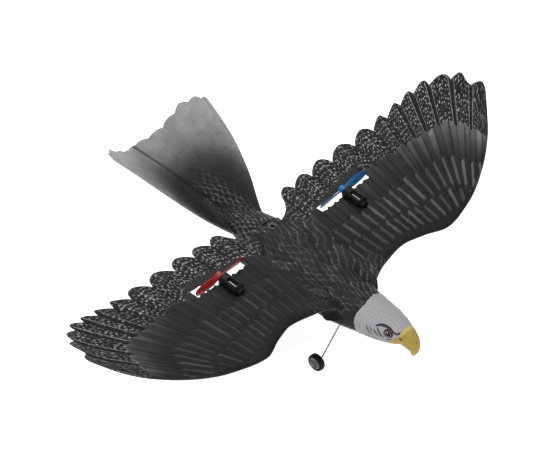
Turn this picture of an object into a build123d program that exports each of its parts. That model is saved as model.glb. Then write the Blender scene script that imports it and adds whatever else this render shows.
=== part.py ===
"""Twin-propeller foam eagle: a radio-controlled glider shaped like a bald eagle.

Frame: millimetres, +Z up, nose toward -Y, the bird's left wing toward +X.
The origin lies on the ground, under the middle of the aircraft's bounding box.
"""

from build123d import *
from math import cos, radians, sin
import os

os.makedirs("parts", exist_ok=True)

# Driving dimensions
SHAFT_HEIGHT = 112.0  # propeller shafts above the ground
SHAFT_X = 92.5  # propeller shafts out from the centre line
PROP_Y = -17.0  # station of both propeller discs
PROP_RADIUS = 35.0

WING_ROOT_X = 8.0
ROOT_TRAILING_EDGE = ((40.0, 22.5), (27.0, 6.0), (WING_ROOT_X, 1.0))
WING_ROOT_THICKNESS = 7.0
WING_TIP_THICKNESS = 3.0
HALF_SPAN = 295.0
SKIN = 4.0  # wall of the foam fuselage shells
SPLIT_HEIGHT = 92.0  # seam between back shell and belly shell
TAIL_JOINT_Y = 9.0  # step where the tail moulding meets the back
NECK_Y = -160.0  # joint between neck and head

MOTOR_RADIUS = 4.25  # coreless motor, 8.5 mm can
MOTOR_LENGTH = 20.0
MOTOR_SHAFT_RADIUS = 0.5
POD_RADIUS = 6.3
POD_REAR_Y = -21.2
POD_LENGTH = 26.0
RUNNING_GAP = 0.05  # radial clearance of every turning pair

SPAR_RADIUS = 1.25
SPAR_Y = -62.0
LEAD_RADIUS = 0.8
LEAD_Y = -54.0

WHEEL_X = 40.0
WHEEL_Y = -109.5
WHEEL_RADIUS = 10.0
WHEEL_WIDTH = 7.6
WIRE_RADIUS = 0.75

TRAY_HALF_WIDTH = 12.0
TRAY_REAR_Y = -41.0
TRAY_LENGTH = 64.0
TRAY_BASE = 52.0
TRAY_HEIGHT = 24.0
TRAY_WALL = 1.2
TRAY_FLANGE = 2.5
TRAY_FLANGE_HEIGHT = 2.4
COVER_THICKNESS = 1.6
BOARD_BASE = 60.0
BOARD_THICKNESS = 1.2

BELOW_WING = 80.0  # cutting solids reach from here
ABOVE_WING = 175.0  # to here, past both faces of the wing

# Fuselage sections: station, height of centre, radius
BODY_SECTIONS = (
    (NECK_Y, 86.0, 20.9),
    (-145.0, 84.0, 23.3),
    (-129.0, 83.0, 26.4),
    (-103.0, 82.0, 30.0),
    (-67.0, 81.5, 30.5),
    (-27.0, 82.0, 29.0),
    (TAIL_JOINT_Y, 84.0, 25.5),
)

# Wing outline: leading edge from the neck to the first feather, then feather tips
LEADING_EDGE = (
    (WING_ROOT_X, -136.0),
    (53.0, -120.0),
    (83.0, -115.0),
    (109.0, -122.0),
    (137.0, -133.0),
    (177.0, -124.0),
    (217.0, -105.0),
    (254.0, -79.0),
    (289.5, -42.0),
)
FEATHER_TIPS = (
    (HALF_SPAN, -30.0),
    (291.3, -2.0),
    (279.5, 16.4),
    (263.3, 29.5),
    (243.5, 33.7),
    (224.0, 34.8),
    (200.8, 35.6),
    (171.6, 36.0),
    (139.0, 37.0),
    (107.1, 37.7),
    (79.7, 36.2),
    (53.7, 35.5),
)
FEATHER_ROOT_Y = -115.0
FEATHER_ROOT_SPREAD = 0.62

# Height of the wing's upper face along the span
WING_RISE = (
    (0.0, 107.0),
    (54.0, 107.2),
    (107.0, 110.0),
    (150.0, 112.2),
    (200.0, 116.0),
    (243.0, 125.0),
    (270.0, 134.5),
    (HALF_SPAN, 149.5),
)

# Tail cone: station, height of centre, half width, half height
TAIL_CONE = (
    (TAIL_JOINT_Y, 84.0, 25.5, 25.5),
    (34.0, 86.0, 21.0, 16.0),
    (62.0, 85.5, 12.0, 6.0),
)

# Tail: half outline, and the slope of its two panels along the length
TAIL_EDGE = ((16.0, 12.0), (21.8, 32.6), (43.3, 77.0), (57.2, 116.0), (67.0, 157.0))
TAIL_TIPS = ((70.3, 173.0), (64.4, 185.6), (52.6, 198.0), (35.8, 200.0), (21.6, 204.5), (6.5, 216.0))
TAIL_END_Y = 220.0
TAIL_SLOPES = (
    (12.0, 0.1, 92.0),
    (33.0, 0.23, 85.0),
    (77.0, 0.64, 84.0),
    (116.0, 0.75, 84.0),
    (157.0, 0.83, 83.5),
    (221.0, 0.86, 80.0),
)
TAIL_THICKNESS = 3.6


def wing_thickness(x):
    """Wing thickness at distance x from the centre line."""
    return WING_ROOT_THICKNESS + (WING_TIP_THICKNESS - WING_ROOT_THICKNESS) * x / HALF_SPAN


def wing_top(x):
    """Height of the wing's upper face at distance x, between the listed points."""
    for (x0, z0), (x1, z1) in zip(WING_RISE, WING_RISE[1:]):
        if x <= x1:
            return z0 + (z1 - z0) * (x - x0) / (x1 - x0)
    return WING_RISE[-1][1]


def notch(tip_a, tip_b, root, depth):
    """Point between two feather tips, drawn back toward the feathers' root."""
    middle = Vector((tip_a[0] + tip_b[0]) / 2, (tip_a[1] + tip_b[1]) / 2)
    return middle + (Vector(*root) - middle).normalized() * depth


def fuselage(inset):
    """Solid of the fuselage, drawn in all round by inset."""
    with BuildPart() as body:
        for station, height, radius in BODY_SECTIONS:
            with BuildSketch(Plane.XZ.offset(-station)):
                with Locations((0, height)):
                    Circle(radius - inset)
        loft()
    return body.part


def tube(points, radius):
    """Round wire: straight runs joined by tangent arcs as large as the runs allow."""
    points = [Vector(*point) for point in points]
    with BuildPart(mode=Mode.PRIVATE) as wire:
        with BuildLine():
            here = points[0]
            for before, corner, after in zip(points, points[1:], points[2:]):
                reach = 0.45 * min((corner - before).length, (after - corner).length)
                arrive = corner - (corner - before).normalized() * reach
                leave = corner + (after - corner).normalized() * reach
                Line(here, arrive)
                TangentArc(arrive, leave, tangent=corner - before)
                here = leave
            Line(here, points[-1])
        with BuildSketch(Plane(origin=points[0], z_dir=points[1] - points[0])):
            Circle(radius)
        sweep()
    return wire.part


def tail_cone(inset):
    """Rear of the fuselage, narrowing into the root of the tail fan."""
    with BuildPart() as cone:
        for station, height, half_width, half_height in TAIL_CONE:
            with BuildSketch(Plane.XZ.offset(-station)):
                with Locations((0, height)):
                    Ellipse(half_width - inset, half_height - inset)
        loft()
    return cone.part


# Straight carbon spar of the left wing
SPAR_START = (4.0, SPAR_Y, 103.2)
SPAR_END = (152.0, SPAR_Y, 109.6)
SPAR_RUN = Vector(*SPAR_END) - Vector(*SPAR_START)

fuselage_solid = fuselage(0)
fuselage_hollow = fuselage(SKIN)
tail_cone_solid = tail_cone(0)

# Wings: plan outline met with the curved band of the front view
PAST_TIP = (310.0, 159.0)  # the band runs on beyond the wing tip
with BuildPart() as wing_blank:
    with BuildSketch(Plane.XY.offset(BELOW_WING)):
        with BuildLine():
            Spline(*LEADING_EDGE)
            start = Vector(*LEADING_EDGE[-1])
            for tip, following in zip(FEATHER_TIPS, FEATHER_TIPS[1:]):
                middle_x = (tip[0] + following[0]) / 2
                root = (FEATHER_ROOT_SPREAD * middle_x, FEATHER_ROOT_Y)
                end = notch(tip, following, root, 5 + 6 * middle_x / HALF_SPAN)
                Spline(start, tip, end)
                start = end
            Spline(start, FEATHER_TIPS[-1], *ROOT_TRAILING_EDGE)
            Line(ROOT_TRAILING_EDGE[-1], LEADING_EDGE[0])
        make_face()
    extrude(amount=ABOVE_WING - BELOW_WING)
    with BuildSketch(Plane.XZ.offset(200)):
        with BuildLine():
            upper = Spline(*WING_RISE, PAST_TIP)
            lower = Spline(*((x, z - wing_thickness(x)) for x, z in (*WING_RISE, PAST_TIP)))
            Line(upper @ 0, lower @ 0)
            Line(upper @ 1, lower @ 1)
        make_face()
    extrude(amount=-400, mode=Mode.INTERSECT)

# Propeller slot in each wing: through opening, with a ramp behind it
SLOT_INNER_X = 56.0
SLOT_OUTER_X = 130.0
SLOT_FRONT_Y = -22.5
SLOT_REAR_Y = -10.0
RAMP_REAR_Y = 1.5
RAMP_DEPTH = 4.0
GROOVE_INNER_X = 16.0
GROOVE_WIDTH = 3.4

slot_top = wing_top(SHAFT_X)
lead_height = wing_top(SHAFT_X) - wing_thickness(SHAFT_X) + 1.6
root_lead_height = wing_top(24.0) - wing_thickness(24.0) + 1.4
LEAD_ROUTE = (
    (SHAFT_X, -44.1, 110.0),
    (SHAFT_X - 0.5, -50.0, 108.6),
    (SHAFT_X - 7.0, LEAD_Y, lead_height),
    (58.0, LEAD_Y - 0.4, 0.45 * lead_height + 0.55 * root_lead_height),
    (27.0, LEAD_Y - 1.0, root_lead_height),
    (14.0, LEAD_Y - 3.0, 91.0),
    (8.0, LEAD_Y - 4.0, 80.0),
    (8.0, LEAD_Y - 4.0, BOARD_BASE + BOARD_THICKNESS),
)
lead_solid = tube(LEAD_ROUTE, LEAD_RADIUS)
lead_passage = tube(LEAD_ROUTE, LEAD_RADIUS + 0.25)

with BuildPart() as left_wing:
    add(wing_blank.part)
    with BuildSketch(Plane.XY.offset(BELOW_WING)):
        with Locations(((SLOT_INNER_X + SLOT_OUTER_X) / 2, (SLOT_FRONT_Y + SLOT_REAR_Y) / 2)):
            Rectangle(SLOT_OUTER_X - SLOT_INNER_X, SLOT_REAR_Y - SLOT_FRONT_Y)
    extrude(amount=ABOVE_WING - BELOW_WING, mode=Mode.SUBTRACT)
    with BuildSketch(Plane.YZ.offset(SLOT_INNER_X)):
        with BuildLine():
            Polyline((SLOT_REAR_Y - 1, slot_top - RAMP_DEPTH), (RAMP_REAR_Y, slot_top),
                     (RAMP_REAR_Y, slot_top + 9), (SLOT_REAR_Y - 1, slot_top + 9), close=True)
        make_face()
    extrude(amount=SLOT_OUTER_X - SLOT_INNER_X, mode=Mode.SUBTRACT)
    # Pocket for the motor pod, open to the slot
    with BuildSketch(Plane.XZ.offset(-PROP_Y)):
        with Locations((SHAFT_X, SHAFT_HEIGHT)):
            Circle(POD_RADIUS)
        with Locations((SHAFT_X, SHAFT_HEIGHT - 5)):
            Rectangle(2 * POD_RADIUS, 10)
    extrude(amount=POD_LENGTH - POD_REAR_Y + PROP_Y, mode=Mode.SUBTRACT)
    # Bore for the spar, groove for the motor lead
    with BuildSketch(Plane(origin=SPAR_START, z_dir=SPAR_RUN)):
        Circle(SPAR_RADIUS)
    extrude(amount=SPAR_RUN.length, mode=Mode.SUBTRACT)
    with BuildSketch(Plane.XY.offset(BELOW_WING)):
        with Locations(((SHAFT_X + GROOVE_INNER_X) / 2, LEAD_Y)):
            Rectangle(SHAFT_X - GROOVE_INNER_X, GROOVE_WIDTH)
    extrude(amount=lead_height + 1.2 - BELOW_WING, mode=Mode.SUBTRACT)
    add(lead_passage, mode=Mode.SUBTRACT)
    add(fuselage_solid, mode=Mode.SUBTRACT)
    add(tail_cone_solid, mode=Mode.SUBTRACT)
left_wing.part.label = "left_wing"
export_step(left_wing.part, "parts/left_wing.step")

with BuildPart() as right_wing:
    add(mirror(left_wing.part, about=Plane.YZ, mode=Mode.PRIVATE))
right_wing.part.label = "right_wing"
export_step(right_wing.part, "parts/right_wing.step")

# Fuselage shells: the skin, hollow inside, parted at the seam
EYELET_Y = -2.0
EYELET_BORE = 2.25
EYELET_BARREL = 3.3
EYELET_FLANGE = 4.6
EYELET_TOP = 111.0
EYELET_BASE = 104.0
EYELET_RIM = 1.2
GEAR_BLOCK_Y = -116.0
GEAR_BLOCK_WIDTH = 20.0
GEAR_BLOCK_LENGTH = 14.0
GEAR_BLOCK_BASE = 55.0
GEAR_BLOCK_TOP = 66.0
TRAY_CENTRE_Y = TRAY_REAR_Y - TRAY_LENGTH / 2
TONGUE_WIDTH = 22.0
TONGUE_HEIGHT = 8.0
TONGUE_LENGTH = 14.0
TONGUE_BASE = 88.0
NECK_PLUG_RADIUS = 12.0
NECK_PLUG_LENGTH = 10.0

with BuildPart() as back_shell:
    add(fuselage_solid)
    add(fuselage_hollow, mode=Mode.SUBTRACT)
    split(bisect_by=Plane.XY.offset(SPLIT_HEIGHT), keep=Keep.TOP)
    with BuildSketch(Plane.XY.offset(SPLIT_HEIGHT)):
        with Locations((0, EYELET_Y)):
            Circle(EYELET_BARREL)
    extrude(amount=ABOVE_WING - SPLIT_HEIGHT, mode=Mode.SUBTRACT)
    for mirrored in (1, -1):
        with BuildSketch(Plane(origin=(mirrored * SPAR_START[0], SPAR_Y, SPAR_START[2]),
                               z_dir=(mirrored * SPAR_RUN.X, 0, SPAR_RUN.Z))):
            Circle(SPAR_RADIUS)
        extrude(amount=20, mode=Mode.SUBTRACT)
    add(lead_passage, mode=Mode.SUBTRACT)
    add(mirror(lead_passage, about=Plane.YZ, mode=Mode.PRIVATE), mode=Mode.SUBTRACT)
back_shell.part.label = "back_shell"
export_step(back_shell.part, "parts/back_shell.step")

with BuildPart() as belly_shell:
    add(fuselage_solid)
    add(fuselage_hollow, mode=Mode.SUBTRACT)
    split(bisect_by=Plane.XY.offset(SPLIT_HEIGHT), keep=Keep.BOTTOM)
    with BuildSketch(Plane.XY.offset(TRAY_BASE - 10)):
        with Locations((0, TRAY_CENTRE_Y)):
            Rectangle(2 * TRAY_HALF_WIDTH, TRAY_LENGTH)
    extrude(amount=25, mode=Mode.SUBTRACT)
    with BuildSketch(Plane.XY.offset(TRAY_BASE - 10)):
        with Locations((0, TRAY_CENTRE_Y)):
            Rectangle(2 * (TRAY_HALF_WIDTH + TRAY_FLANGE), TRAY_LENGTH + 2 * TRAY_FLANGE)
    extrude(amount=10 + TRAY_FLANGE_HEIGHT, mode=Mode.SUBTRACT)
    with BuildSketch(Plane.XY.offset(TRAY_BASE - 10)):
        with Locations((0, GEAR_BLOCK_Y)):
            Rectangle(GEAR_BLOCK_WIDTH, GEAR_BLOCK_LENGTH)
    extrude(amount=25, mode=Mode.SUBTRACT)
belly_shell.part.label = "belly_shell"
export_step(belly_shell.part, "parts/belly_shell.step")

# Moulded eyelet in the back, for a hanging line or hook
with BuildPart() as back_eyelet:
    with BuildSketch(Plane.XY.offset(EYELET_BASE)):
        with Locations((0, EYELET_Y)):
            Circle(EYELET_BARREL)
    extrude(amount=EYELET_TOP - EYELET_BASE)
    with BuildSketch(Plane.XY.offset(EYELET_TOP - EYELET_RIM)):
        with Locations((0, EYELET_Y)):
            Circle(EYELET_FLANGE)
    extrude(amount=EYELET_RIM)
    add(back_shell.part, mode=Mode.SUBTRACT)
    with BuildSketch(Plane.XY.offset(SPLIT_HEIGHT)):
        with Locations((0, EYELET_Y)):
            Circle(EYELET_BORE)
    extrude(amount=ABOVE_WING - SPLIT_HEIGHT, mode=Mode.SUBTRACT)
back_eyelet.part.label = "back_eyelet"
export_step(back_eyelet.part, "parts/back_eyelet.step")

# Head: lofted crown and cheeks, with a plug that fills the neck
# Sections: station, height of centre, half width, half height
HEAD_SECTIONS = (
    (-152.0, 85.0, 22.6, 22.9),
    (-166.0, 86.3, 20.5, 21.0),
    (-180.0, 88.0, 17.0, 18.4),
    (-194.0, 90.2, 12.9, 15.4),
    (-206.0, 91.5, 10.0, 13.6),
)
BEAK_ROOT_Y = -203.0
BEAK_HALF_WIDTH = 9.5
BEAK_RIDGE = ((BEAK_ROOT_Y, 106.0), (-213.0, 103.0), (-219.7, 92.0), (-219.5, 82.0), (-213.0, 69.0))
BEAK_MOUTH = ((-213.0, 69.0), (-211.0, 76.0), (-203.5, 76.5), (-196.0, 74.5))
BEAK_CHIN = ((-196.0, 74.5), (-196.0, 80.0), (BEAK_ROOT_Y, 80.0), (BEAK_ROOT_Y, 106.0))
BEAK_REAR_Y = -192.0
BEAK_PLAN = ((BEAK_HALF_WIDTH, BEAK_REAR_Y), (8.5, -203.0), (5.0, -214.0), (0, -220.0))

with BuildPart() as head:
    for station, height, half_width, half_height in HEAD_SECTIONS:
        with BuildSketch(Plane.XZ.offset(-station)):
            with Locations((0, height)):
                Ellipse(half_width, half_height)
    loft()
    add(fuselage_solid, mode=Mode.SUBTRACT)
    with BuildSketch(Plane.XZ.offset(-NECK_Y)):
        with Locations((0, 86)):
            Circle(NECK_PLUG_RADIUS)
    extrude(amount=-NECK_PLUG_LENGTH)
    split(bisect_by=Plane.XZ.offset(-BEAK_ROOT_Y), keep=Keep.BOTTOM)
head.part.label = "head"
export_step(head.part, "parts/head.step")

# Hooked beak: side profile met with a tapering front view
with BuildPart() as beak:
    with BuildSketch(Plane.YZ):
        with BuildLine():
            Spline(*BEAK_RIDGE)
            Spline(*BEAK_MOUTH)
            Polyline(*BEAK_CHIN)
        make_face()
    extrude(amount=BEAK_HALF_WIDTH, both=True)
    with BuildSketch(Plane.XY.offset(60)):
        with BuildLine():
            Spline(*BEAK_PLAN, *[(-x, y) for x, y in reversed(BEAK_PLAN[:-1])])
            Line((-BEAK_HALF_WIDTH, BEAK_REAR_Y), (BEAK_HALF_WIDTH, BEAK_REAR_Y))
        make_face()
    extrude(amount=60, mode=Mode.INTERSECT)
    add(head.part, mode=Mode.SUBTRACT)
beak.part.label = "beak"
export_step(beak.part, "parts/beak.step")

# Tail moulding: rear cone, V-shaped fan and the tongue that plugs into the back
FAN_REACH = 85.0  # half width of the blank, wider than the fan itself
FAN_NOTCH = 4.0
TAIL_FAN_ROOT = (0, 60.0)
with BuildPart() as fan_blank:
    for station, slope, crease in TAIL_SLOPES:
        edge = crease + slope * FAN_REACH
        with BuildSketch(Plane.XZ.offset(-station)):
            with BuildLine():
                Polyline((-FAN_REACH, edge), (0, crease), (FAN_REACH, edge),
                         (FAN_REACH, edge + TAIL_THICKNESS), (0, crease + TAIL_THICKNESS),
                         (-FAN_REACH, edge + TAIL_THICKNESS), close=True)
            make_face()
    loft()
    with BuildSketch(Plane.XY.offset(60)):
        with BuildLine():
            Spline(*TAIL_EDGE)
            start = Vector(*TAIL_EDGE[-1])
            for tip, following in zip(TAIL_TIPS, TAIL_TIPS[1:]):
                end = notch(tip, following, TAIL_FAN_ROOT, FAN_NOTCH)
                Spline(start, tip, end)
                start = end
            Spline(start, TAIL_TIPS[-1], (0, TAIL_END_Y))
            Line((0, TAIL_END_Y), (0, TAIL_EDGE[0][1]))
            Line((0, TAIL_EDGE[0][1]), TAIL_EDGE[0])
        make_face()
        mirror(about=Plane.YZ)
    extrude(amount=120, mode=Mode.INTERSECT)

with BuildPart() as tail_fan:
    add(tail_cone_solid)
    add(fan_blank.part)
    with BuildSketch(Plane.XZ.offset(-TAIL_JOINT_Y)):
        with Locations((0, TONGUE_BASE + TONGUE_HEIGHT / 2)):
            Rectangle(TONGUE_WIDTH, TONGUE_HEIGHT)
    extrude(amount=TONGUE_LENGTH)
tail_fan.part.label = "tail_fan"
export_step(tail_fan.part, "parts/tail_fan.step")

# Socket ring glued inside the rear of the fuselage, which holds the tail's tongue
with BuildPart() as tail_socket:
    with BuildSketch(Plane.XZ.offset(-TAIL_JOINT_Y)):
        with Locations((0, TONGUE_BASE + TONGUE_HEIGHT / 2)):
            RectangleRounded(TONGUE_WIDTH + 4, TONGUE_HEIGHT + 4, 1.5)
            Rectangle(TONGUE_WIDTH, TONGUE_HEIGHT, mode=Mode.SUBTRACT)
    extrude(amount=TONGUE_LENGTH)
tail_socket.part.label = "tail_socket"
export_step(tail_socket.part, "parts/tail_socket.step")

# Bracket that ties the two spars together across the fuselage
JOINER_HEIGHT = 101.8
JOINER_LENGTH = 8.0
with BuildPart() as spar_joiner:
    with BuildSketch(Plane.XZ.offset(-SPAR_Y - JOINER_LENGTH / 2)):
        with Locations((0, JOINER_HEIGHT)):
            RectangleRounded(22, 7.0, 1.5)
    extrude(amount=JOINER_LENGTH)
    for mirrored in (1, -1):
        with BuildSketch(Plane(origin=(mirrored * SPAR_START[0], SPAR_Y, SPAR_START[2]),
                               z_dir=(mirrored * SPAR_RUN.X, 0, SPAR_RUN.Z))):
            Circle(SPAR_RADIUS)
        extrude(amount=20, both=True, mode=Mode.SUBTRACT)
spar_joiner.part.label = "spar_joiner"
export_step(spar_joiner.part, "parts/spar_joiner.step")

# Carbon spars
with BuildPart() as left_spar:
    with BuildSketch(Plane(origin=SPAR_START, z_dir=SPAR_RUN)):
        Circle(SPAR_RADIUS)
    extrude(amount=SPAR_RUN.length)

# Motor pod: round housing with a window over the can and a closed front
POD_FRONT_WALL = 1.5
WINDOW_LENGTH = 15.0
WINDOW_WIDTH = 6.0
WINDOW_Y = -35.5
with BuildPart() as left_motor_pod:
    with BuildSketch(Plane.XZ.offset(-POD_REAR_Y)):
        with Locations((SHAFT_X, SHAFT_HEIGHT)):
            Circle(POD_RADIUS)
    extrude(amount=POD_LENGTH)
    fillet(left_motor_pod.edges().filter_by(GeomType.CIRCLE).sort_by(Axis.Y)[0], radius=3.0)
    with BuildSketch(Plane.XZ.offset(-POD_REAR_Y)):
        with Locations((SHAFT_X, SHAFT_HEIGHT)):
            Circle(MOTOR_RADIUS)
    extrude(amount=POD_LENGTH - POD_FRONT_WALL, mode=Mode.SUBTRACT)
    with BuildSketch(Plane.XY.offset(SHAFT_HEIGHT)):
        with Locations((SHAFT_X, WINDOW_Y)):
            SlotOverall(WINDOW_LENGTH, WINDOW_WIDTH, rotation=90)
    extrude(amount=2 * POD_RADIUS, mode=Mode.SUBTRACT)
    add(lead_passage, mode=Mode.SUBTRACT)

# Coreless motor: steel can, rear boss and front cap, bored for its shaft
MOTOR_REAR_Y = POD_REAR_Y - 1.5
with BuildPart() as left_motor:
    with BuildSketch(Plane.XZ.offset(-MOTOR_REAR_Y)):
        with Locations((SHAFT_X, SHAFT_HEIGHT)):
            Circle(MOTOR_RADIUS)
    extrude(amount=MOTOR_LENGTH)
    fillet(left_motor.edges().filter_by(GeomType.CIRCLE), radius=0.4)
    with BuildSketch(Plane.XZ.offset(-MOTOR_REAR_Y)):
        with Locations((SHAFT_X, SHAFT_HEIGHT)):
            Circle(1.5)
    extrude(amount=-0.8)
    with BuildSketch(Plane.XZ.offset(-MOTOR_REAR_Y + MOTOR_LENGTH)):
        with Locations((SHAFT_X, SHAFT_HEIGHT)):
            Circle(3.6)
    extrude(amount=1.1)
    with BuildSketch(Plane.XZ.offset(-MOTOR_REAR_Y - 1)):
        with Locations((SHAFT_X, SHAFT_HEIGHT)):
            Circle(MOTOR_SHAFT_RADIUS + RUNNING_GAP)
    extrude(amount=MOTOR_LENGTH - 1, mode=Mode.SUBTRACT)

SHAFT_TIP_Y = PROP_Y + 3.0
with BuildPart() as left_motor_shaft:
    with BuildSketch(Plane.XZ.offset(-SHAFT_TIP_Y)):
        with Locations((SHAFT_X, SHAFT_HEIGHT)):
            Circle(MOTOR_SHAFT_RADIUS)
    extrude(amount=SHAFT_TIP_Y - MOTOR_REAR_Y + MOTOR_LENGTH - 3)

# Motor lead, from the motor's cap through the wing to the circuit board
with BuildPart() as left_motor_lead:
    add(lead_solid)

for name, left in (("spar", left_spar), ("motor_pod", left_motor_pod), ("motor", left_motor),
                   ("motor_shaft", left_motor_shaft), ("motor_lead", left_motor_lead)):
    left.part.label = f"left_{name}"
    export_step(left.part, f"parts/left_{name}.step")
    with BuildPart() as right:
        add(mirror(left.part, about=Plane.YZ, mode=Mode.PRIVATE))
    right.part.label = f"right_{name}"
    export_step(right.part, f"parts/right_{name}.step")

# Propellers: hub collar and two twisted blades; the right one is the mirror hand
HUB_RADIUS = 4.2
HUB_LENGTH = 7.0
BLADE_LEAN = 4.0  # blades at rest, rising toward +X
BLADE_SECTIONS = (  # distance from the shaft, chord, thickness, pitch
    (2.0, 4.6, 2.6, 38.0),
    (9.0, 8.0, 2.0, 26.0),
    (18.0, 10.4, 1.6, 18.0),
    (27.0, 10.2, 1.3, 13.0),
    (33.0, 7.2, 1.0, 11.0),
    (PROP_RADIUS, 2.8, 0.7, 10.0),
)

for side, hand in (("left", 1), ("right", -1)):
    hub = Vector(SHAFT_X, PROP_Y, SHAFT_HEIGHT)
    lean = hand * radians(BLADE_LEAN)
    with BuildPart() as propeller:
        for direction in (1, -1):
            outward = Vector(cos(lean), 0, sin(lean)) * direction
            across = Vector(-outward.Z, 0, outward.X)
            for distance, chord, thickness, pitch in BLADE_SECTIONS:
                chord_line = across * cos(radians(pitch)) + Vector(0, sin(radians(pitch)), 0)
                with BuildSketch(Plane(origin=hub + outward * distance, x_dir=chord_line, z_dir=outward)):
                    Ellipse(chord / 2, thickness / 2)
            loft()
        with BuildSketch(Plane.XZ.offset(-PROP_Y - HUB_LENGTH / 2)):
            with Locations((hub.X, hub.Z)):
                Circle(HUB_RADIUS)
        extrude(amount=HUB_LENGTH)
        with BuildSketch(Plane.XZ.offset(-PROP_Y - HUB_LENGTH / 2)):
            with Locations((hub.X, hub.Z)):
                Circle(MOTOR_SHAFT_RADIUS)
        extrude(amount=HUB_LENGTH, mode=Mode.SUBTRACT)
        if side == "right":
            mirror(about=Plane.YZ, mode=Mode.REPLACE)
    propeller.part.label = f"{side}_propeller"
    export_step(propeller.part, f"parts/{side}_propeller.step")

# Control tray in the belly, its cover and screws
BOSS_X = 9.0
BOSS_Y = 29.0
BOSS_RADIUS = 2.2
SCREW_RADIUS = 0.8
SCREW_HEAD_RADIUS = 1.7
SCREW_HEAD = 1.0
COVER_BASE = TRAY_BASE - COVER_THICKNESS
LEDGE_WIDTH = 1.8
LEDGE_X = TRAY_HALF_WIDTH - TRAY_WALL - LEDGE_WIDTH / 2
SOCKET_Y = -90.0
LED_Y = -72.0
SWITCH_Y = -56.0
boss_places = [(x, TRAY_CENTRE_Y + y) for x in (-BOSS_X, BOSS_X) for y in (-BOSS_Y, BOSS_Y)]

with BuildPart() as control_tray:
    with BuildSketch(Plane.XY.offset(TRAY_BASE)):
        with Locations((0, TRAY_CENTRE_Y)):
            Rectangle(2 * TRAY_HALF_WIDTH, TRAY_LENGTH)
    extrude(amount=TRAY_HEIGHT)
    with BuildSketch(Plane.XY.offset(TRAY_BASE)):
        with Locations((0, TRAY_CENTRE_Y)):
            Rectangle(2 * (TRAY_HALF_WIDTH + TRAY_FLANGE), TRAY_LENGTH + 2 * TRAY_FLANGE)
    extrude(amount=TRAY_FLANGE_HEIGHT)
    with BuildSketch(Plane.XY.offset(TRAY_BASE)):
        with Locations((0, TRAY_CENTRE_Y)):
            Rectangle(2 * (TRAY_HALF_WIDTH - TRAY_WALL), TRAY_LENGTH - 2 * TRAY_WALL)
    extrude(amount=TRAY_HEIGHT - TRAY_WALL, mode=Mode.SUBTRACT)
    # Ledges above the board and screw bosses in the corners
    with BuildSketch(Plane.XY.offset(BOARD_BASE + BOARD_THICKNESS)):
        with Locations((LEDGE_X, TRAY_CENTRE_Y), (-LEDGE_X, TRAY_CENTRE_Y)):
            Rectangle(LEDGE_WIDTH, TRAY_LENGTH - TRAY_WALL)
    extrude(amount=2)
    with BuildSketch(Plane.XY.offset(TRAY_BASE)):
        with Locations(*boss_places):
            Circle(BOSS_RADIUS)
    extrude(amount=8)
    with BuildSketch(Plane.XY.offset(TRAY_BASE)):
        with Locations(*boss_places):
            Circle(SCREW_RADIUS)
    extrude(amount=6, mode=Mode.SUBTRACT)
    add(lead_passage, mode=Mode.SUBTRACT)
    add(mirror(lead_passage, about=Plane.YZ, mode=Mode.PRIVATE), mode=Mode.SUBTRACT)
control_tray.part.label = "control_tray"
export_step(control_tray.part, "parts/control_tray.step")

SLIDER_SIZE = 2.0
SLIDER_TRAVEL = 2.4
SLIDER_X = -SLIDER_TRAVEL / 2
with BuildPart() as control_cover:
    with BuildSketch(Plane.XY.offset(COVER_BASE)):
        with Locations((0, TRAY_CENTRE_Y)):
            RectangleRounded(2 * TRAY_HALF_WIDTH + 3, TRAY_LENGTH + 4, 4)
    extrude(amount=COVER_THICKNESS)
    with BuildSketch(Plane.XY.offset(COVER_BASE)):
        with Locations(*boss_places):
            Circle(SCREW_RADIUS + 0.1)
        with Locations((0, LED_Y)):
            Circle(1.6)
        with Locations((0, SWITCH_Y)):
            Rectangle(SLIDER_TRAVEL + SLIDER_SIZE + 0.6, SLIDER_SIZE + 0.5)
        with Locations((0, SOCKET_Y)):
            Rectangle(8.0, 5.6)
    extrude(amount=COVER_THICKNESS, mode=Mode.SUBTRACT)
    with BuildSketch(Plane.XY.offset(COVER_BASE)):
        with Locations(*boss_places):
            Circle(SCREW_HEAD_RADIUS + 0.1)
    extrude(amount=SCREW_HEAD, mode=Mode.SUBTRACT)
control_cover.part.label = "control_cover"
export_step(control_cover.part, "parts/control_cover.step")

with BuildPart() as cover_screws:
    with BuildSketch(Plane.XY.offset(COVER_BASE)):
        with Locations(*boss_places):
            Circle(SCREW_HEAD_RADIUS)
    extrude(amount=SCREW_HEAD)
    with BuildSketch(Plane.XY.offset(COVER_BASE)):
        with Locations(*boss_places):
            Circle(SCREW_RADIUS)
    extrude(amount=6.5)
    with BuildSketch(Plane.XY.offset(COVER_BASE)):
        with Locations(*boss_places):
            Rectangle(2.0, 0.4)
            Rectangle(0.4, 2.0)
    extrude(amount=0.6, mode=Mode.SUBTRACT)
cover_screws.part.label = "cover_screws"
export_step(cover_screws.part, "parts/cover_screws.step")

# Electronics: battery, circuit board, charging socket, lamp and sliding switch
BATTERY_Y = -81.5
BATTERY_BASE = 65.0
BATTERY_HEIGHT = 8.5
with BuildPart() as battery:
    with BuildSketch(Plane.XY.offset(BATTERY_BASE)):
        with Locations((0, BATTERY_Y)):
            RectangleRounded(19.5, 36.0, 2.0)
    extrude(amount=BATTERY_HEIGHT)
    fillet(battery.edges().filter_by(Plane.XY), radius=1.2)
battery.part.label = "battery"
export_step(battery.part, "parts/battery.step")

BATTERY_LEAD_ROUTE = (
    (-5.0, BATTERY_Y + 18.05, 70.0),
    (-5.0, -57.0, 70.0),
    (-5.0, -52.0, 66.0),
    (-5.0, -52.0, BOARD_BASE + BOARD_THICKNESS),
)
with BuildPart() as battery_lead:
    add(tube(BATTERY_LEAD_ROUTE, LEAD_RADIUS))
battery_lead.part.label = "battery_lead"
export_step(battery_lead.part, "parts/battery_lead.step")

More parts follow.
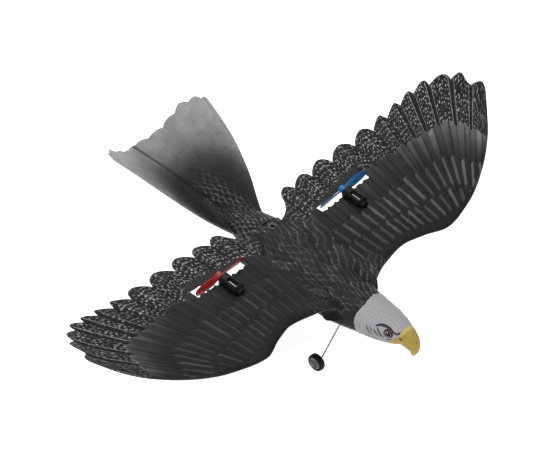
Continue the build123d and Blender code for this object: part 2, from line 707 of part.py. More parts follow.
with BuildPart() as circuit_board:
    with BuildSketch(Plane.XY.offset(BOARD_BASE)):
        with Locations((0, TRAY_CENTRE_Y)):
            Rectangle(20.5, 50.0)
    extrude(amount=BOARD_THICKNESS)
    with BuildSketch(Plane.XY.offset(BOARD_BASE + BOARD_THICKNESS)):
        with Locations((2.0, -86.0)):
            Rectangle(6.0, 6.0)
        with Locations((-3.0, -74.0)):
            Rectangle(5.0, 4.0)
        with Locations((4.0, -66.0)):
            Rectangle(3.2, 8.0)
    extrude(amount=1.2)
circuit_board.part.label = "circuit_board"
export_step(circuit_board.part, "parts/circuit_board.step")

with BuildPart() as charge_socket:
    with BuildSketch(Plane.XY.offset(COVER_BASE + 1.0)):
        with Locations((0, SOCKET_Y)):
            Rectangle(7.6, 5.2)
            Rectangle(5.6, 3.2, mode=Mode.SUBTRACT)
    extrude(amount=5)
    with BuildSketch(Plane.XY.offset(COVER_BASE + 6.0)):
        with Locations((0, SOCKET_Y)):
            Rectangle(7.6, 5.2)
    extrude(amount=BOARD_BASE - COVER_BASE - 6.0)
    with BuildSketch(Plane.XY.offset(COVER_BASE + 2.5)):
        with Locations((-1.3, SOCKET_Y), (1.3, SOCKET_Y)):
            Rectangle(0.6, 0.6)
    extrude(amount=4)
charge_socket.part.label = "charge_socket"
export_step(charge_socket.part, "parts/charge_socket.step")

with BuildPart() as status_lamp:
    with BuildSketch(Plane.XY.offset(COVER_BASE + 0.4)):
        with Locations((0, LED_Y)):
            Circle(1.5)
    extrude(amount=BOARD_BASE - COVER_BASE - 0.4)
    fillet(status_lamp.edges().filter_by(GeomType.CIRCLE).sort_by(Axis.Z)[0], radius=1.0)
status_lamp.part.label = "status_lamp"
export_step(status_lamp.part, "parts/status_lamp.step")

SWITCH_BASE = 56.5
with BuildPart() as switch_body:
    with BuildSketch(Plane.XY.offset(SWITCH_BASE)):
        with Locations((0, SWITCH_Y)):
            Rectangle(8.6, 3.8)
    extrude(amount=BOARD_BASE - SWITCH_BASE)
    with BuildSketch(Plane.XY.offset(SWITCH_BASE)):
        with Locations((0, SWITCH_Y)):
            Rectangle(SLIDER_TRAVEL + SLIDER_SIZE + 2 * RUNNING_GAP, SLIDER_SIZE + 2 * RUNNING_GAP)
    extrude(amount=1.6, mode=Mode.SUBTRACT)
switch_body.part.label = "switch_body"
export_step(switch_body.part, "parts/switch_body.step")

with BuildPart() as switch_slider:
    with BuildSketch(Plane.XY.offset(COVER_BASE + 0.3)):
        with Locations((SLIDER_X, SWITCH_Y)):
            Rectangle(SLIDER_SIZE, SLIDER_SIZE)
    extrude(amount=SWITCH_BASE + 1.5 - COVER_BASE - 0.3)
    chamfer(switch_slider.faces().sort_by(Axis.Z)[0].edges(), length=0.3)
switch_slider.part.label = "switch_slider"
export_step(switch_slider.part, "parts/switch_slider.step")

# Landing gear: block in the belly, two wire legs, wheels and their end caps
LEG_TOP = (5.0, -116.5, 62.0)
LEG_CORNER = (33.0, WHEEL_Y, WHEEL_RADIUS)
AXLE_END = (47.0, WHEEL_Y, WHEEL_RADIUS)
leg_down = (Vector(*LEG_CORNER) - Vector(*LEG_TOP)).normalized()
LEG_BEND = 3.0

with BuildPart() as left_gear_leg:
    with BuildLine() as leg_route:
        FilletPolyline(LEG_TOP, LEG_CORNER, AXLE_END, radius=LEG_BEND)
    with BuildSketch(Plane(origin=LEG_TOP, z_dir=leg_down)):
        Circle(WIRE_RADIUS)
    sweep()

with BuildPart() as gear_block:
    with BuildSketch(Plane.XY.offset(GEAR_BLOCK_BASE)):
        with Locations((0, GEAR_BLOCK_Y)):
            Rectangle(GEAR_BLOCK_WIDTH, GEAR_BLOCK_LENGTH)
    extrude(amount=GEAR_BLOCK_TOP - GEAR_BLOCK_BASE)
    chamfer(gear_block.faces().sort_by(Axis.Z)[0].edges(), length=0.8)
    for mirrored in (1, -1):
        with BuildSketch(Plane(origin=(mirrored * LEG_TOP[0], LEG_TOP[1], LEG_TOP[2]),
                               z_dir=(mirrored * leg_down.X, leg_down.Y, leg_down.Z))):
            Circle(WIRE_RADIUS)
        extrude(amount=20, mode=Mode.SUBTRACT)
gear_block.part.label = "gear_block"
export_step(gear_block.part, "parts/gear_block.step")

axle = Axis((WHEEL_X, WHEEL_Y, WHEEL_RADIUS), (1, 0, 0))
wheel_plane = Plane(origin=(WHEEL_X, WHEEL_Y, WHEEL_RADIUS), x_dir=(1, 0, 0), z_dir=(0, -1, 0))
RIM_RADIUS = 6.8
RIM_HALF_WIDTH = 3.3
WEB_HALF_WIDTH = 1.4
HUB_BORE = WIRE_RADIUS + RUNNING_GAP

with BuildPart() as left_wheel_hub:
    with BuildSketch(wheel_plane):
        with BuildLine():
            half = [(WEB_HALF_WIDTH + 2.2, HUB_BORE), (WEB_HALF_WIDTH + 2.2, 2.0), (WEB_HALF_WIDTH, 2.3),
                    (WEB_HALF_WIDTH, 5.4), (RIM_HALF_WIDTH, 5.8), (RIM_HALF_WIDTH, RIM_RADIUS)]
            Polyline(*half, *[(-x, radius) for x, radius in reversed(half)], close=True)
        make_face()
    revolve(axis=axle)

with BuildPart() as left_tyre:
    with BuildSketch(wheel_plane):
        with Locations((0, (RIM_RADIUS + WHEEL_RADIUS) / 2)):
            RectangleRounded(WHEEL_WIDTH, WHEEL_RADIUS - RIM_RADIUS, 1.4)
    revolve(axis=axle)

with BuildPart() as left_axle_cap:
    with BuildSketch(Plane.YZ.offset(WHEEL_X + WHEEL_WIDTH / 2 + 0.3)):
        with Locations((WHEEL_Y, WHEEL_RADIUS)):
            Circle(2.0)
    extrude(amount=3.4)
    fillet(left_axle_cap.edges().filter_by(GeomType.CIRCLE).sort_by(Axis.X)[-1], radius=0.9)
    add(left_gear_leg.part, mode=Mode.SUBTRACT)

for name, left in (("gear_leg", left_gear_leg), ("wheel_hub", left_wheel_hub), ("tyre", left_tyre),
                   ("axle_cap", left_axle_cap)):
    left.part.label = f"left_{name}"
    export_step(left.part, f"parts/left_{name}.step")
    with BuildPart() as right:
        add(mirror(left.part, about=Plane.YZ, mode=Mode.PRIVATE))
    right.part.label = f"right_{name}"
    export_step(right.part, f"parts/right_{name}.step")
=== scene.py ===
"""Looks of the foam eagle glider: moulded foam skins, paint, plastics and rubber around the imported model.

Lengths are written in millimetres and scaled once, when a mesh is made.
The bird's nose points to -Y, its left wing to +X and its back to +Z.
"""

import math
from types import SimpleNamespace

import bpy
import numpy as np
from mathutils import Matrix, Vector, kdtree


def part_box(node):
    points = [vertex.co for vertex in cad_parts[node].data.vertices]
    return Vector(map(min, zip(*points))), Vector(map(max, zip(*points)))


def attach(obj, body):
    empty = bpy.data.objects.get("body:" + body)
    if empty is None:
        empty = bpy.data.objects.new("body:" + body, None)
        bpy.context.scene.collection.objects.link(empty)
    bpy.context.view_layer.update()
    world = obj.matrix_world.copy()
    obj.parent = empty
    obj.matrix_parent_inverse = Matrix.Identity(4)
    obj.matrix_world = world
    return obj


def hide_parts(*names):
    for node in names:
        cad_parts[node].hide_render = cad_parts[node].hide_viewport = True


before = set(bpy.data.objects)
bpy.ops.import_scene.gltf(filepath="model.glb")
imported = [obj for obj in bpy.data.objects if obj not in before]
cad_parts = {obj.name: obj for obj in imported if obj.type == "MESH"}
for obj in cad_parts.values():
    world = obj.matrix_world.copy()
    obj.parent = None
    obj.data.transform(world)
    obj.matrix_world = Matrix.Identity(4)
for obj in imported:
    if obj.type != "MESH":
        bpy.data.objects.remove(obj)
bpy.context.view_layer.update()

MM = 0.001

# ---------------------------------------------------------------- shape data
# Left wing seen from above, as (x, y): its front edge, the flight feathers' tips from the outermost inwards,
# the notches beside them, and where each feather's side lines start on the front edge.
LEADING_EDGE = [(8, -136), (30, -128), (53, -120), (83, -115), (109, -122), (137, -133), (177, -124),
                (217, -105), (254, -79), (289.5, -42)]
FEATHER_TIPS = [(295, -30), (291.3, -2), (279.5, 16.4), (263.3, 29.5), (243.5, 33.7), (224, 34.8), (200.8, 35.6),
                (171.6, 36), (139, 37), (107.1, 37.7), (79.7, 36.2), (53.7, 35.5), (29.5, 8)]
NOTCHES = [(289.6, -41.6), (287.3, -22.2), (281.1, 2.6), (264.4, 19.2), (247, 26.1), (227.1, 26.8), (205.2, 26),
           (181.8, 24.3), (151.9, 23.1), (118, 24), (88, 25), (63, 27), (43, 27), (8, 1)]
ANCHORS = [289.2, 184, 171, 163, 157, 152, 147, 140, 127, 103, 78, 56, 36, 8]
# Height of the wing's upper skin, as (x, z), and its thickness.
WING_RISE = [(0, 107), (54, 107.2), (107, 110), (150, 112.2), (200, 116), (243, 125), (270, 134.5), (295, 149.5)]
WING_THICKNESS = ([8, 60, 200, 295], [7.0, 6.6, 4.6, 2.6])
# Where each row of coverts ends, as (feather number, share of the way to the feather's tip).
ROW_A = [(0, 0), (0.3, 0), (0.6, 0.36), (1, 0.62), (2, 0.65), (3, 0.67), (4, 0.67), (5, 0.69), (6, 0.71),
         (7, 0.72), (8, 0.72), (9, 0.70), (12, 0.70), (13, 0.76)]
ROW_B = [(0, 0), (0.5, 0), (0.8, 0.2), (1, 0.33), (2, 0.38), (3, 0.42), (4, 0.44), (5, 0.45), (6, 0.47),
         (7, 0.48), (8, 0.47), (9, 0.45), (10, 0.44), (11, 0.46), (12, 0.47), (13, 0.54)]
ROW_C = [(0, 0), (0.85, 0), (1, 0.05), (2, 0.13), (3, 0.18), (4, 0.2), (5, 0.22), (6, 0.23), (8, 0.24),
         (10, 0.23), (11, 0.27), (12, 0.3), (13, 0.38)]
ROW_D = [(0, 0), (3, 0.01), (4, 0.02), (5, 0.04), (6, 0.05), (8, 0.05), (9, 0.05), (11, 0.04), (12, 0.03),
         (13, 0.02)]
PRIMARIES = 5
PRIMARY_QUILL = 0.14
# The propeller slot through the left wing and the ramp behind it.
SLOT_X = (56.0, 130.0)
SLOT_Y = (-22.5, -10.0)
RAMP_END_Y = 1.5
RAMP_DEPTH = 4.0
SLOT_Z = (90, 130)
SHAFT_X = 92.5
# Body, as (y, centre z, radius), and its openings.
BODY_SECTIONS = [(-160, 86, 20.9), (-145, 84, 23.3), (-129, 83, 26.4), (-103, 82, 30), (-67, 81.5, 30.5),
                 (-27, 82, 29), (9, 84, 25.5)]
BODY_ARC = 0.86
BODY_Y = (-159.5, 8.2)
SHOULDER_SPREAD = 13
SHOULDER_FILLET = 7.0
NECK_TUCK = 1.8
SCALE_RISE = 1.7
EYELET_OFFSET = 4.6
COVER_X = (-13.8, 13.8)
COVER_Y = (-107.3, -38.7)
COVER_Z = (40, 62)
SLIT_X = (-7.5, 6.5)
SLIT_Y = (5.4, 7.0)
SLIT_Z = (104, 116)
EYELET_HOLE = 2.35
HOLE_Z = (100, 116)
# Rear cone and head, as (y, centre z, half width, half height).
TAIL_CONE = [(9, 84, 25.5, 25.5), (34, 86, 21, 16), (62, 85.5, 12, 6), (74, 84.6, 4, 2.2)]
HEAD_SECTIONS = [(-206, 92.5, 9.3, 11.2), (-199, 91.5, 11.3, 13.4), (-194, 90.5, 13.4, 15.5),
                 (-180, 88.4, 18.2, 19.0), (-166, 86.6, 21.3, 21.4), (-150, 85, 23.2, 23.4),
                 (-143, 84.6, 23.9, 24.1)]
# Tail fan: half width, slope and crease height along y; feather tips from the outermost inwards, as (x, y),
# and how far the notches between them are cut back.
TAIL_EDGE = [(12, 16), (32.6, 21.8), (77, 43.3), (116, 57.2), (157, 67), (173, 70.3), (186, 73.4), (221, 80)]
TAIL_SLOPES = [(12, 0.08), (33, 0.25), (77, 0.6), (116, 0.76), (165, 0.84), (221, 0.86)]
TAIL_CREASE = [(12, 88), (33, 84.5), (77, 83.5), (116, 83.5), (165, 83), (221, 79.5)]
TAIL_TIPS = [(70.3, 173), (64.4, 185.6), (52.6, 198), (35.8, 200), (21.6, 204.5), (6.5, 216), (0, 219)]
TAIL_LOBES = [4.4, 4.4, 5.0, 5.4, 6.0, 3.0, 0.5]
TAIL_THICKNESS = 3.4
# Paint of the tail fan from its root to its tips, as (distance, tone).
TAIL_SHADES = [(0, 0.009), (60, 0.009), (100, 0.010), (120, 0.016), (140, 0.030), (160, 0.080), (180, 0.160),
               (200, 0.205), (230, 0.235), (320, 0.240)]
BASE_TONE = 0.009
# Share of the coverts' painted highlight and shade kept on the right wing, where the light falls less on their
# facets.
RIGHT_COVERT_PAINTED_LIGHT = 0.45


# ---------------------------------------------------------------- small maths
def smooth_curve(points):
    """Returns a function that passes smoothly through (x, y) points and never overshoots them."""
    xs, ys = np.array(points, float).T
    step = np.diff(xs)
    slope = np.diff(ys) / step
    grad = np.empty_like(ys)
    grad[0], grad[-1] = slope[0], slope[-1]
    left, right = slope[:-1], slope[1:]
    wide, late = 2 * step[1:] + step[:-1], step[1:] + 2 * step[:-1]
    safe = left * right > 0
    mean = (wide + late) / (wide / np.where(safe, left, 1) + late / np.where(safe, right, 1))
    grad[1:-1] = np.where(safe, mean, 0)

    def value(x):
        x = np.clip(x, xs[0], xs[-1])
        i = np.clip(np.searchsorted(xs, x) - 1, 0, len(step) - 1)
        t = (x - xs[i]) / step[i]
        u = 1 - t
        return ((1 + 2 * t) * u * u * ys[i] + t * u * u * step[i] * grad[i]
                + t * t * (3 - 2 * t) * ys[i + 1] - t * t * u * step[i] * grad[i + 1])

    return value


def curves(table):
    """One smooth curve over the first column for each later column."""
    return [smooth_curve([(row[0], row[i]) for row in table]) for i in range(1, len(table[0]))]


def ease(low, high, x):
    """0 below low, 1 above high, and smooth between."""
    t = np.clip((x - low) / (high - low), 0, 1)
    return t * t * (3 - 2 * t)


def soft_max(a, b, blend):
    """The larger of two heights, with a fillet of about blend where they cross."""
    h = np.clip(0.5 + 0.5 * (a - b) / blend, 0, 1)
    return b + (a - b) * h + blend * h * (1 - h) * 0.5


def hash01(*keys):
    """A repeatable random number from 0 to 1 for integer keys."""
    total = sum(np.asarray(k, float) * w for k, w in zip(keys, (12.9898, 78.233, 37.719)))
    return np.modf(np.abs(np.sin(total) * 43758.5453))[0]


def scales(p, q, tip=0.56, reach=2.1):
    """Overlapping scale feathers on a staggered, slightly uneven lattice: p across, q rearwards, in scale units.
    Returns the height from 0 to 1, a line along each free edge and a random tone for each scale; where the callers
    paint the edge line light, it is painted highlight on the raised edge."""
    p, q = (p + 0.16 * np.sin(1.1 * q + 0.7 * p) + 0.07 * np.sin(2.3 * q - 1.3 * p),
            q + 0.18 * np.sin(1.4 * p + 0.5 * q) + 0.08 * np.sin(3.1 * p))
    height, edge, tone, side = np.zeros_like(p), np.full_like(p, 9.0), np.zeros_like(p), np.zeros_like(p)
    free = np.ones(p.shape, bool)
    first = np.floor(q) - 1
    for back in range(3):
        row = first + back
        shift = 0.5 * np.mod(row, 2)
        col = np.round(p - shift)
        across = (p - shift - col) / tip
        along = (q - row) / reach
        body = 1 - np.abs(across) ** 2.2 - np.clip(along, 0, 2) ** 3
        here = free & (body > 0)
        height = np.where(here, along + 0.35 * (1 - across ** 2), height)
        edge = np.where(here, body, edge)
        tone = np.where(here, hash01(row, col), tone)
        side = np.where(here, across, side)
        free &= ~here
    line = np.exp(-(np.where(free, 0.0, edge) / 0.21) ** 2) * (0.28 + 0.72 * ease(0.15, 0.75, np.abs(side)))
    return height, line, tone


def back_scales(x, y):
    """The scale feathers of neck, back and shoulders, fanning out rearwards."""
    fan = 4.6 + 2.6 * ease(-150, -60, y) - 1.6 * ease(-50, 0, y)
    return scales(x / fan, (y + 0.42 * np.abs(x) + 0.006 * x * x) / 8.6)


def full_turn(count):
    """Evenly spaced angles round a full turn, without the repeated last one."""
    return np.linspace(0, 2 * math.pi, count + 1)[:-1]


# ---------------------------------------------------------------- mesh making
def add_object(name, data):
    """A new object in the scene."""
    obj = bpy.data.objects.new(name, data)
    bpy.context.scene.collection.objects.link(obj)
    return obj


def make_mesh(name, verts, faces):
    """A mesh from points in millimetres."""
    mesh = bpy.data.meshes.new(name)
    mesh.from_pydata((np.asarray(verts, float) * MM).tolist(), [], faces)
    return mesh


def make_piece(name, verts, faces, body, material, attributes=None):
    """A smoothly shaded mesh object from points in millimetres, riding on a body."""
    mesh = make_mesh(name, verts, faces)
    mesh.update()
    for key, values in (attributes or {}).items():
        layer = mesh.attributes.new(key, "FLOAT", "POINT")
        layer.data.foreach_set("value", np.asarray(values, np.float32).ravel())
    mesh.polygons.foreach_set("use_smooth", [True] * len(mesh.polygons))
    obj = add_object(name, mesh)
    obj.data.materials.append(material)
    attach(obj, body)
    return obj


def outward(verts, faces):
    """The faces, turned round if together they enclose a negative volume."""
    points = np.asarray(verts, float) - np.mean(verts, axis=0)
    volume = sum(float(np.dot(points[f[0]], np.cross(points[f[i]], points[f[i + 1]])))
                 for f in faces for i in range(1, len(f) - 1))
    return faces if volume > 0 else [f[::-1] for f in faces]


def grid_faces(rows, cols, start=0, flip=False, wrap=False):
    """Quads of a rows by cols grid of points numbered row by row."""
    i, j = np.meshgrid(np.arange(rows - 1), np.arange(cols if wrap else cols - 1), indexing="ij")
    j2 = (j + 1) % cols
    quads = np.stack([i * cols + j, i * cols + j2, (i + 1) * cols + j2, (i + 1) * cols + j], -1)
    quads = quads.reshape(-1, 4) + start
    return (quads[:, ::-1] if flip else quads).tolist()


def tube(rings, first, last, start=0, flip=False):
    """Points and faces of a skin over a grid of rings, closed by fans to a first and a last point."""
    rows, cols = rings.shape[:2]
    faces = grid_faces(rows, cols, start=start, flip=flip, wrap=True)
    for centre, row in ((rows * cols, 0), (rows * cols + 1, rows - 1)):
        for j in range(cols):
            a, b = start + row * cols + j, start + row * cols + (j + 1) % cols
            faces.append([start + centre, a, b] if flip == (row == 0) else [start + centre, b, a])
    return np.concatenate([rings.reshape(-1, 3), [first, last]]), faces


def slab(top, bottom):
    """A closed skin from a fine top grid and a bottom grid that has every second point of it."""
    rows, cols = top.shape[:2]
    low_rows, low_cols = bottom.shape[:2]
    base = rows * cols
    faces = grid_faces(rows, cols, flip=True) + grid_faces(low_rows, low_cols, start=base)
    high = lambda r, c: r * cols + c
    low = lambda r, c: base + (r // 2) * low_cols + c // 2
    for c in range(0, cols - 2, 2):
        r = rows - 1
        faces.append([high(0, c), high(0, c + 1), high(0, c + 2), low(0, c + 2), low(0, c)])
        faces.append([high(r, c + 2), high(r, c + 1), high(r, c), low(r, c), low(r, c + 2)])
    for r in range(0, rows - 2, 2):
        c = cols - 1
        faces.append([high(r + 2, 0), high(r + 1, 0), high(r, 0), low(r, 0), low(r + 2, 0)])
        faces.append([high(r, c), high(r + 1, c), high(r + 2, c), low(r + 2, c), low(r, c)])
    return np.concatenate([top.reshape(-1, 3), bottom.reshape(-1, 3)]), faces


def rectangle(x, y, z):
    """Four corners of a level rectangle over the ranges x and y."""
    return [(x[0], y[0], z), (x[1], y[0], z), (x[1], y[1], z), (x[0], y[1], z)]


def box_cutter(name, corners_low, corners_high):
    """A closed six-sided cutter from its four low and four high corners."""
    faces = [(3, 2, 1, 0), (4, 5, 6, 7), (0, 1, 5, 4), (1, 2, 6, 5), (2, 3, 7, 6), (3, 0, 4, 7)]
    return add_object(name, make_mesh(name, corners_low + corners_high, faces))


def prism_cutter(name, outline, low, high):
    """A closed upright cutter over an outline of (x, y) points, counter-clockwise."""
    points = [(px, py, z) for z in (low, high) for px, py in outline]
    count = len(outline)
    faces = [(i, (i + 1) % count, count + (i + 1) % count, count + i) for i in range(count)]
    faces += [tuple(range(count))[::-1], tuple(range(count, 2 * count))]
    return add_object(name, make_mesh(name, points, faces))


def ring_outline(centre, radius, count=48):
    """Points of a circle, counter-clockwise."""
    turn = full_turn(count)
    return list(zip(centre[0] + radius * np.cos(turn), centre[1] + radius * np.sin(turn)))


def carve(obj, cutters, cut_material):
    """Cuts the cutters out of obj, leaves cut_material on the cut faces and keeps the paint attributes."""
    names = [a.name for a in obj.data.attributes if a.domain == "POINT" and a.data_type == "FLOAT"]
    count = len(obj.data.vertices)
    paint = {n: np.empty(count, np.float32) for n in names}
    for n in names:
        obj.data.attributes[n].data.foreach_get("value", paint[n])
    tree = kdtree.KDTree(count)
    for i, v in enumerate(obj.data.vertices):
        tree.insert(v.co, i)
    tree.balance()
    obj.data.materials.append(cut_material)
    for cutter in cutters:
        cutter.data.materials.append(cut_material)
        mod = obj.modifiers.new("carve", "BOOLEAN")
        mod.operation, mod.solver, mod.object, mod.material_mode = "DIFFERENCE", "EXACT", cutter, "TRANSFER"
    graph = bpy.context.evaluated_depsgraph_get()
    mesh = bpy.data.meshes.new_from_object(obj.evaluated_get(graph))
    obj.modifiers.clear()
    obj.data = mesh
    for cutter in cutters:
        bpy.data.objects.remove(cutter)
    nearest = np.array([tree.find(v.co)[1] for v in mesh.vertices])
    for n in names:
        layer = mesh.attributes.get(n) or mesh.attributes.new(n, "FLOAT", "POINT")
        layer.data.foreach_set("value", paint[n][nearest])


# ---------------------------------------------------------------- materials
FOAM_ROUGH = (0.42, 0.56)
FOAM_SHEEN = 0.09
DASH_CELLS = (0.42, 0.165)
DASH_RANDOM = 0.62
DASH_EDGE = (0.13, 0.33)
# Light grey of the barbs: partly paint, partly painted highlight on the raised barbs.
DASH_PAINT_AND_HIGHLIGHT = (0.45, 0.45, 0.455)
QUILL_PAINT = (0.27, 0.27, 0.275)
INK = (0.008, 0.012, 0.028)
MUSTARD = (0.240, 0.169, 0.015)
# Paler paint of the cere, also used for the painted highlight along the beak's ridge.
CERE_AND_RIDGE_HIGHLIGHT = (0.36, 0.29, 0.11)
MOUTH_DARK = (0.03, 0.022, 0.012)


class Nodes:
    """A short way to write a material's node tree."""

    def __init__(self, name):
        self.material = bpy.data.materials.new(name)
        self.material.use_nodes = True
        self.tree = self.material.node_tree
        self.shader = self.tree.nodes["Principled BSDF"]

    def put(self, socket, value):
        if isinstance(value, bpy.types.NodeSocket):
            self.tree.links.new(value, socket)
        elif value is not None:
            socket.default_value = value

    def add(self, kind, out=0, inputs=(), **settings):
        node = self.tree.nodes.new(kind)
        for key, value in settings.items():
            setattr(node, key, value)
        for key, value in dict(inputs).items():
            self.put(node.inputs[key], value)
        return node.outputs[out]

    def maths(self, operation, a, b=None):
        return self.add("ShaderNodeMath", inputs={0: a, 1: b}, operation=operation)

    def times(self, first, *others):
        for other in others:
            first = self.maths("MULTIPLY", first, other)
        return first

    def attribute(self, name):
        return self.add("ShaderNodeAttribute", out="Fac", attribute_name=name)

    def place(self, scale=1000):
        """Place on the piece, in millimetres unless scaled otherwise."""
        coords = self.add("ShaderNodeTexCoord", out="Object")
        return self.add("ShaderNodeVectorMath", inputs={0: coords, 1: (scale,) * 3}, operation="MULTIPLY")

    def noise(self, vector, scale, detail=3.0, rough=0.55):
        return self.add("ShaderNodeTexNoise", inputs={"Vector": vector, "Scale": scale, "Detail": detail,
                                                       "Roughness": rough})

    def step(self, value, low, high, to_low=0.0, to_high=1.0):
        return self.add("ShaderNodeMapRange", inputs={0: value, 1: low, 2: high, 3: to_low, 4: to_high},
                        interpolation_type="SMOOTHSTEP")

    def layer(self, factor, under, over):
        under, over = (c if isinstance(c, bpy.types.NodeSocket) else (*c, 1) for c in (under, over))
        return self.add("ShaderNodeMix", out=2, inputs={0: factor, 6: under, 7: over}, data_type="RGBA")

    def grey(self, value):
        return self.add("ShaderNodeCombineColor", inputs={0: value, 1: value, 2: value})

    def bump(self, height, strength, distance, normal=None):
        return self.add("ShaderNodeBump", inputs={"Height": height, "Strength": strength, "Distance": distance * MM,
                                                  "Normal": normal})

    def finish(self, base, roughness, normal, **settings):
        self.put(self.shader.inputs["Base Color"], base)
        self.put(self.shader.inputs["Roughness"], roughness)
        self.put(self.shader.inputs["Normal"], normal)
        for key, value in settings.items():
            self.put(self.shader.inputs[key.replace("_", " ")], value)
        return self.material


def foam_beads(n, strength=0.35):
    """The pebbled skin of moulded bead foam."""
    where = n.place()
    warp = n.noise(where, 0.6, 2.0)
    beads = n.add("ShaderNodeTexVoronoi", out="Distance", inputs={"Vector": where, "Scale": 0.62}, feature="F1")
    fine = n.noise(where, 2.6, 2.0)
    height = n.maths("ADD", n.times(beads, 0.6), n.times(fine, 0.35))
    return n.bump(n.maths("ADD", height, n.times(warp, 0.3)), strength, 0.22), warp


def feather_foam(name):
    """Charcoal foam whose flight feathers carry rows of light barbs, partly paint and partly painted highlight on
    the raised barbs, and a pale quill line.
    """
    n = Nodes(name)
    tone, flight = n.attribute("tone"), n.attribute("flight")
    across, along = n.attribute("across"), n.attribute("along")
    feather = n.attribute("feather")
    where = n.place()
    wobble = n.times(n.maths("SUBTRACT", n.noise(where, 0.25, 2.0), 0.5), 0.8)
    spot = n.add("ShaderNodeCombineXYZ", inputs={
        0: n.maths("ADD", n.maths("ADD", n.times(across, DASH_CELLS[0]), wobble), n.times(feather, 37.3)),
        1: n.times(along, DASH_CELLS[1])})
    barbs = n.add("ShaderNodeTexVoronoi", inputs={"Vector": spot, "Scale": 1.0, "Randomness": DASH_RANDOM},
                  voronoi_dimensions="2D", feature="F1").node
    dash = n.step(barbs.outputs["Distance"], *DASH_EDGE, 1.0, 0.0)
    pick = n.add("ShaderNodeSeparateColor", inputs={0: barbs.outputs["Color"]})
    patch = n.noise(where, 0.10, 3.0)
    strength = n.times(n.step(pick, 0.0, 0.8, 0.22, 1.0), n.step(patch, 0.34, 0.58, 0.50, 1.0))
    fleck = n.step(n.noise(where, 1.1, 3.0), 0.34, 0.60, 0.60, 1.0)
    # the light barbs: partly paint, partly painted highlight where the raised barbs catch the light
    paint = n.times(dash, strength, flight, fleck)
    quill = n.times(n.step(n.attribute("quill"), 0.25, 0.80, 1.0, 0.0),
                    n.step(n.noise(where, 0.35, 2.0), 0.35, 0.55, 0.25, 0.75))
    beads, warp = foam_beads(n)
    mottle = n.times(tone, n.step(n.noise(where, 0.05, 4.0), 0.3, 0.7, 0.80, 1.20))
    dashed = n.layer(paint, n.grey(mottle), DASH_PAINT_AND_HIGHLIGHT)
    lined = n.layer(n.times(quill, 0.85), dashed, QUILL_PAINT)
    raised = n.maths("ADD", n.times(dash, flight), n.times(quill, 0.6))
    normal = n.bump(raised, 0.9, 0.6, beads)
    return n.finish(lined, n.step(warp, 0.3, 0.7, *FOAM_ROUGH), normal, Specular_IOR_Level=FOAM_SHEEN)


def plain_foam(name):
    """Foam whose paint tone is carried by the mesh."""
    n = Nodes(name)
    beads, warp = foam_beads(n)
    mottle = n.step(n.noise(n.place(), 0.07, 4.0), 0.3, 0.7, 0.88, 1.12)
    colour = n.grey(n.times(n.attribute("tone"), mottle))
    return n.finish(colour, n.step(warp, 0.3, 0.7, *FOAM_ROUGH), beads, Specular_IOR_Level=FOAM_SHEEN)


def cut_foam(name):
    """The bare inner foam that shows where the skin is cut."""
    n = Nodes(name)
    beads, warp = foam_beads(n, 0.25)
    base = n.layer(n.step(warp, 0.3, 0.7), (0.014, 0.014, 0.0145), (0.020, 0.020, 0.020))
    return n.finish(base, 0.6, beads, Specular_IOR_Level=0.3)


def head_paint(name):
    """Light grey feather paint with dark ink strokes."""
    n = Nodes(name)
    beads, warp = foam_beads(n, 0.22)
    base = n.grey(n.times(n.attribute("tone"), n.step(warp, 0.3, 0.7, 0.93, 1.05)))
    ink = n.step(n.attribute("ink"), 0.35, 0.65)
    horn = n.layer(n.step(n.attribute("gape"), 0.4, 0.6), base, MUSTARD)
    return n.finish(n.layer(ink, horn, INK), n.step(ink, 0, 1, 0.6, 0.42), beads, Specular_IOR_Level=0.3)


def beak_paint(name):
    """Mustard paint, a paler cere with a painted highlight along the top of the ridge, and dark nostril and mouth
    lines.
    """
    n = Nodes(name)
    where = n.place()
    blotch = n.noise(where, 0.16, 4.0)
    base = n.layer(n.step(blotch, 0.35, 0.65), (0.215, 0.150, 0.012), (0.265, 0.188, 0.018))
    # the paler layer is the cere's own paint and a painted highlight along the top of the ridge
    pale = n.layer(n.attribute("pale"), base, CERE_AND_RIDGE_HIGHLIGHT)
    dark = n.layer(n.attribute("dark"), pale, MOUTH_DARK)
    normal = n.bump(n.noise(where, 0.9, 4.0), 0.25, 0.25)
    return n.finish(dark, n.step(blotch, 0.3, 0.7, 0.46, 0.58), normal, Specular_IOR_Level=0.28)


def eye_paint(name):
    """Rings of paint on a glossy eye: dark rim, orange iris, black pupil and a white glint."""
    n = Nodes(name)
    radius = n.attribute("radius")
    streak = n.noise(n.place(), 1.6, 3.0)
    iris = n.layer(n.step(streak, 0.35, 0.65), (0.05, 0.022, 0.008), (0.24, 0.115, 0.035))
    pupil = n.layer(n.step(radius, 0.55, 0.60, 1.0, 0.0), iris, (0.006, 0.006, 0.008))
    rim = n.layer(n.step(radius, 0.72, 0.80), pupil, (0.012, 0.016, 0.03))
    glint = n.layer(n.attribute("glint"), rim, (0.9, 0.9, 0.9))
    normal = n.bump(streak, 0.1, 0.05)
    return n.finish(glint, n.step(streak, 0.3, 0.7, 0.28, 0.38), normal, Specular_IOR_Level=0.12)


def plastic(name, low, high, rough, grain=1.6, bump=0.12, scuff=0.06, **settings):
    """Moulded plastic: colour drifting from low to high (one number is a grey), fine grain, and paler scuffs."""
    n = Nodes(name)
    low, high = ((c,) * 3 if isinstance(c, float) else c for c in (low, high))
    where = n.place()
    drift = n.noise(where, 0.09, 3.0)
    scratch = n.noise(where, 0.7, 6.0, 0.7)
    base = n.layer(n.step(drift, 0.3, 0.7), low, high)
    worn = n.layer(n.step(scratch, 0.58, 0.72, 0.0, scuff), base, tuple(min(1, c * 1.5 + 0.06) for c in high))
    normal = n.bump(n.noise(where, grain, 3.0), bump, 0.15)
    return n.finish(worn, n.step(scratch, 0.35, 0.7, *rough), normal, **settings)


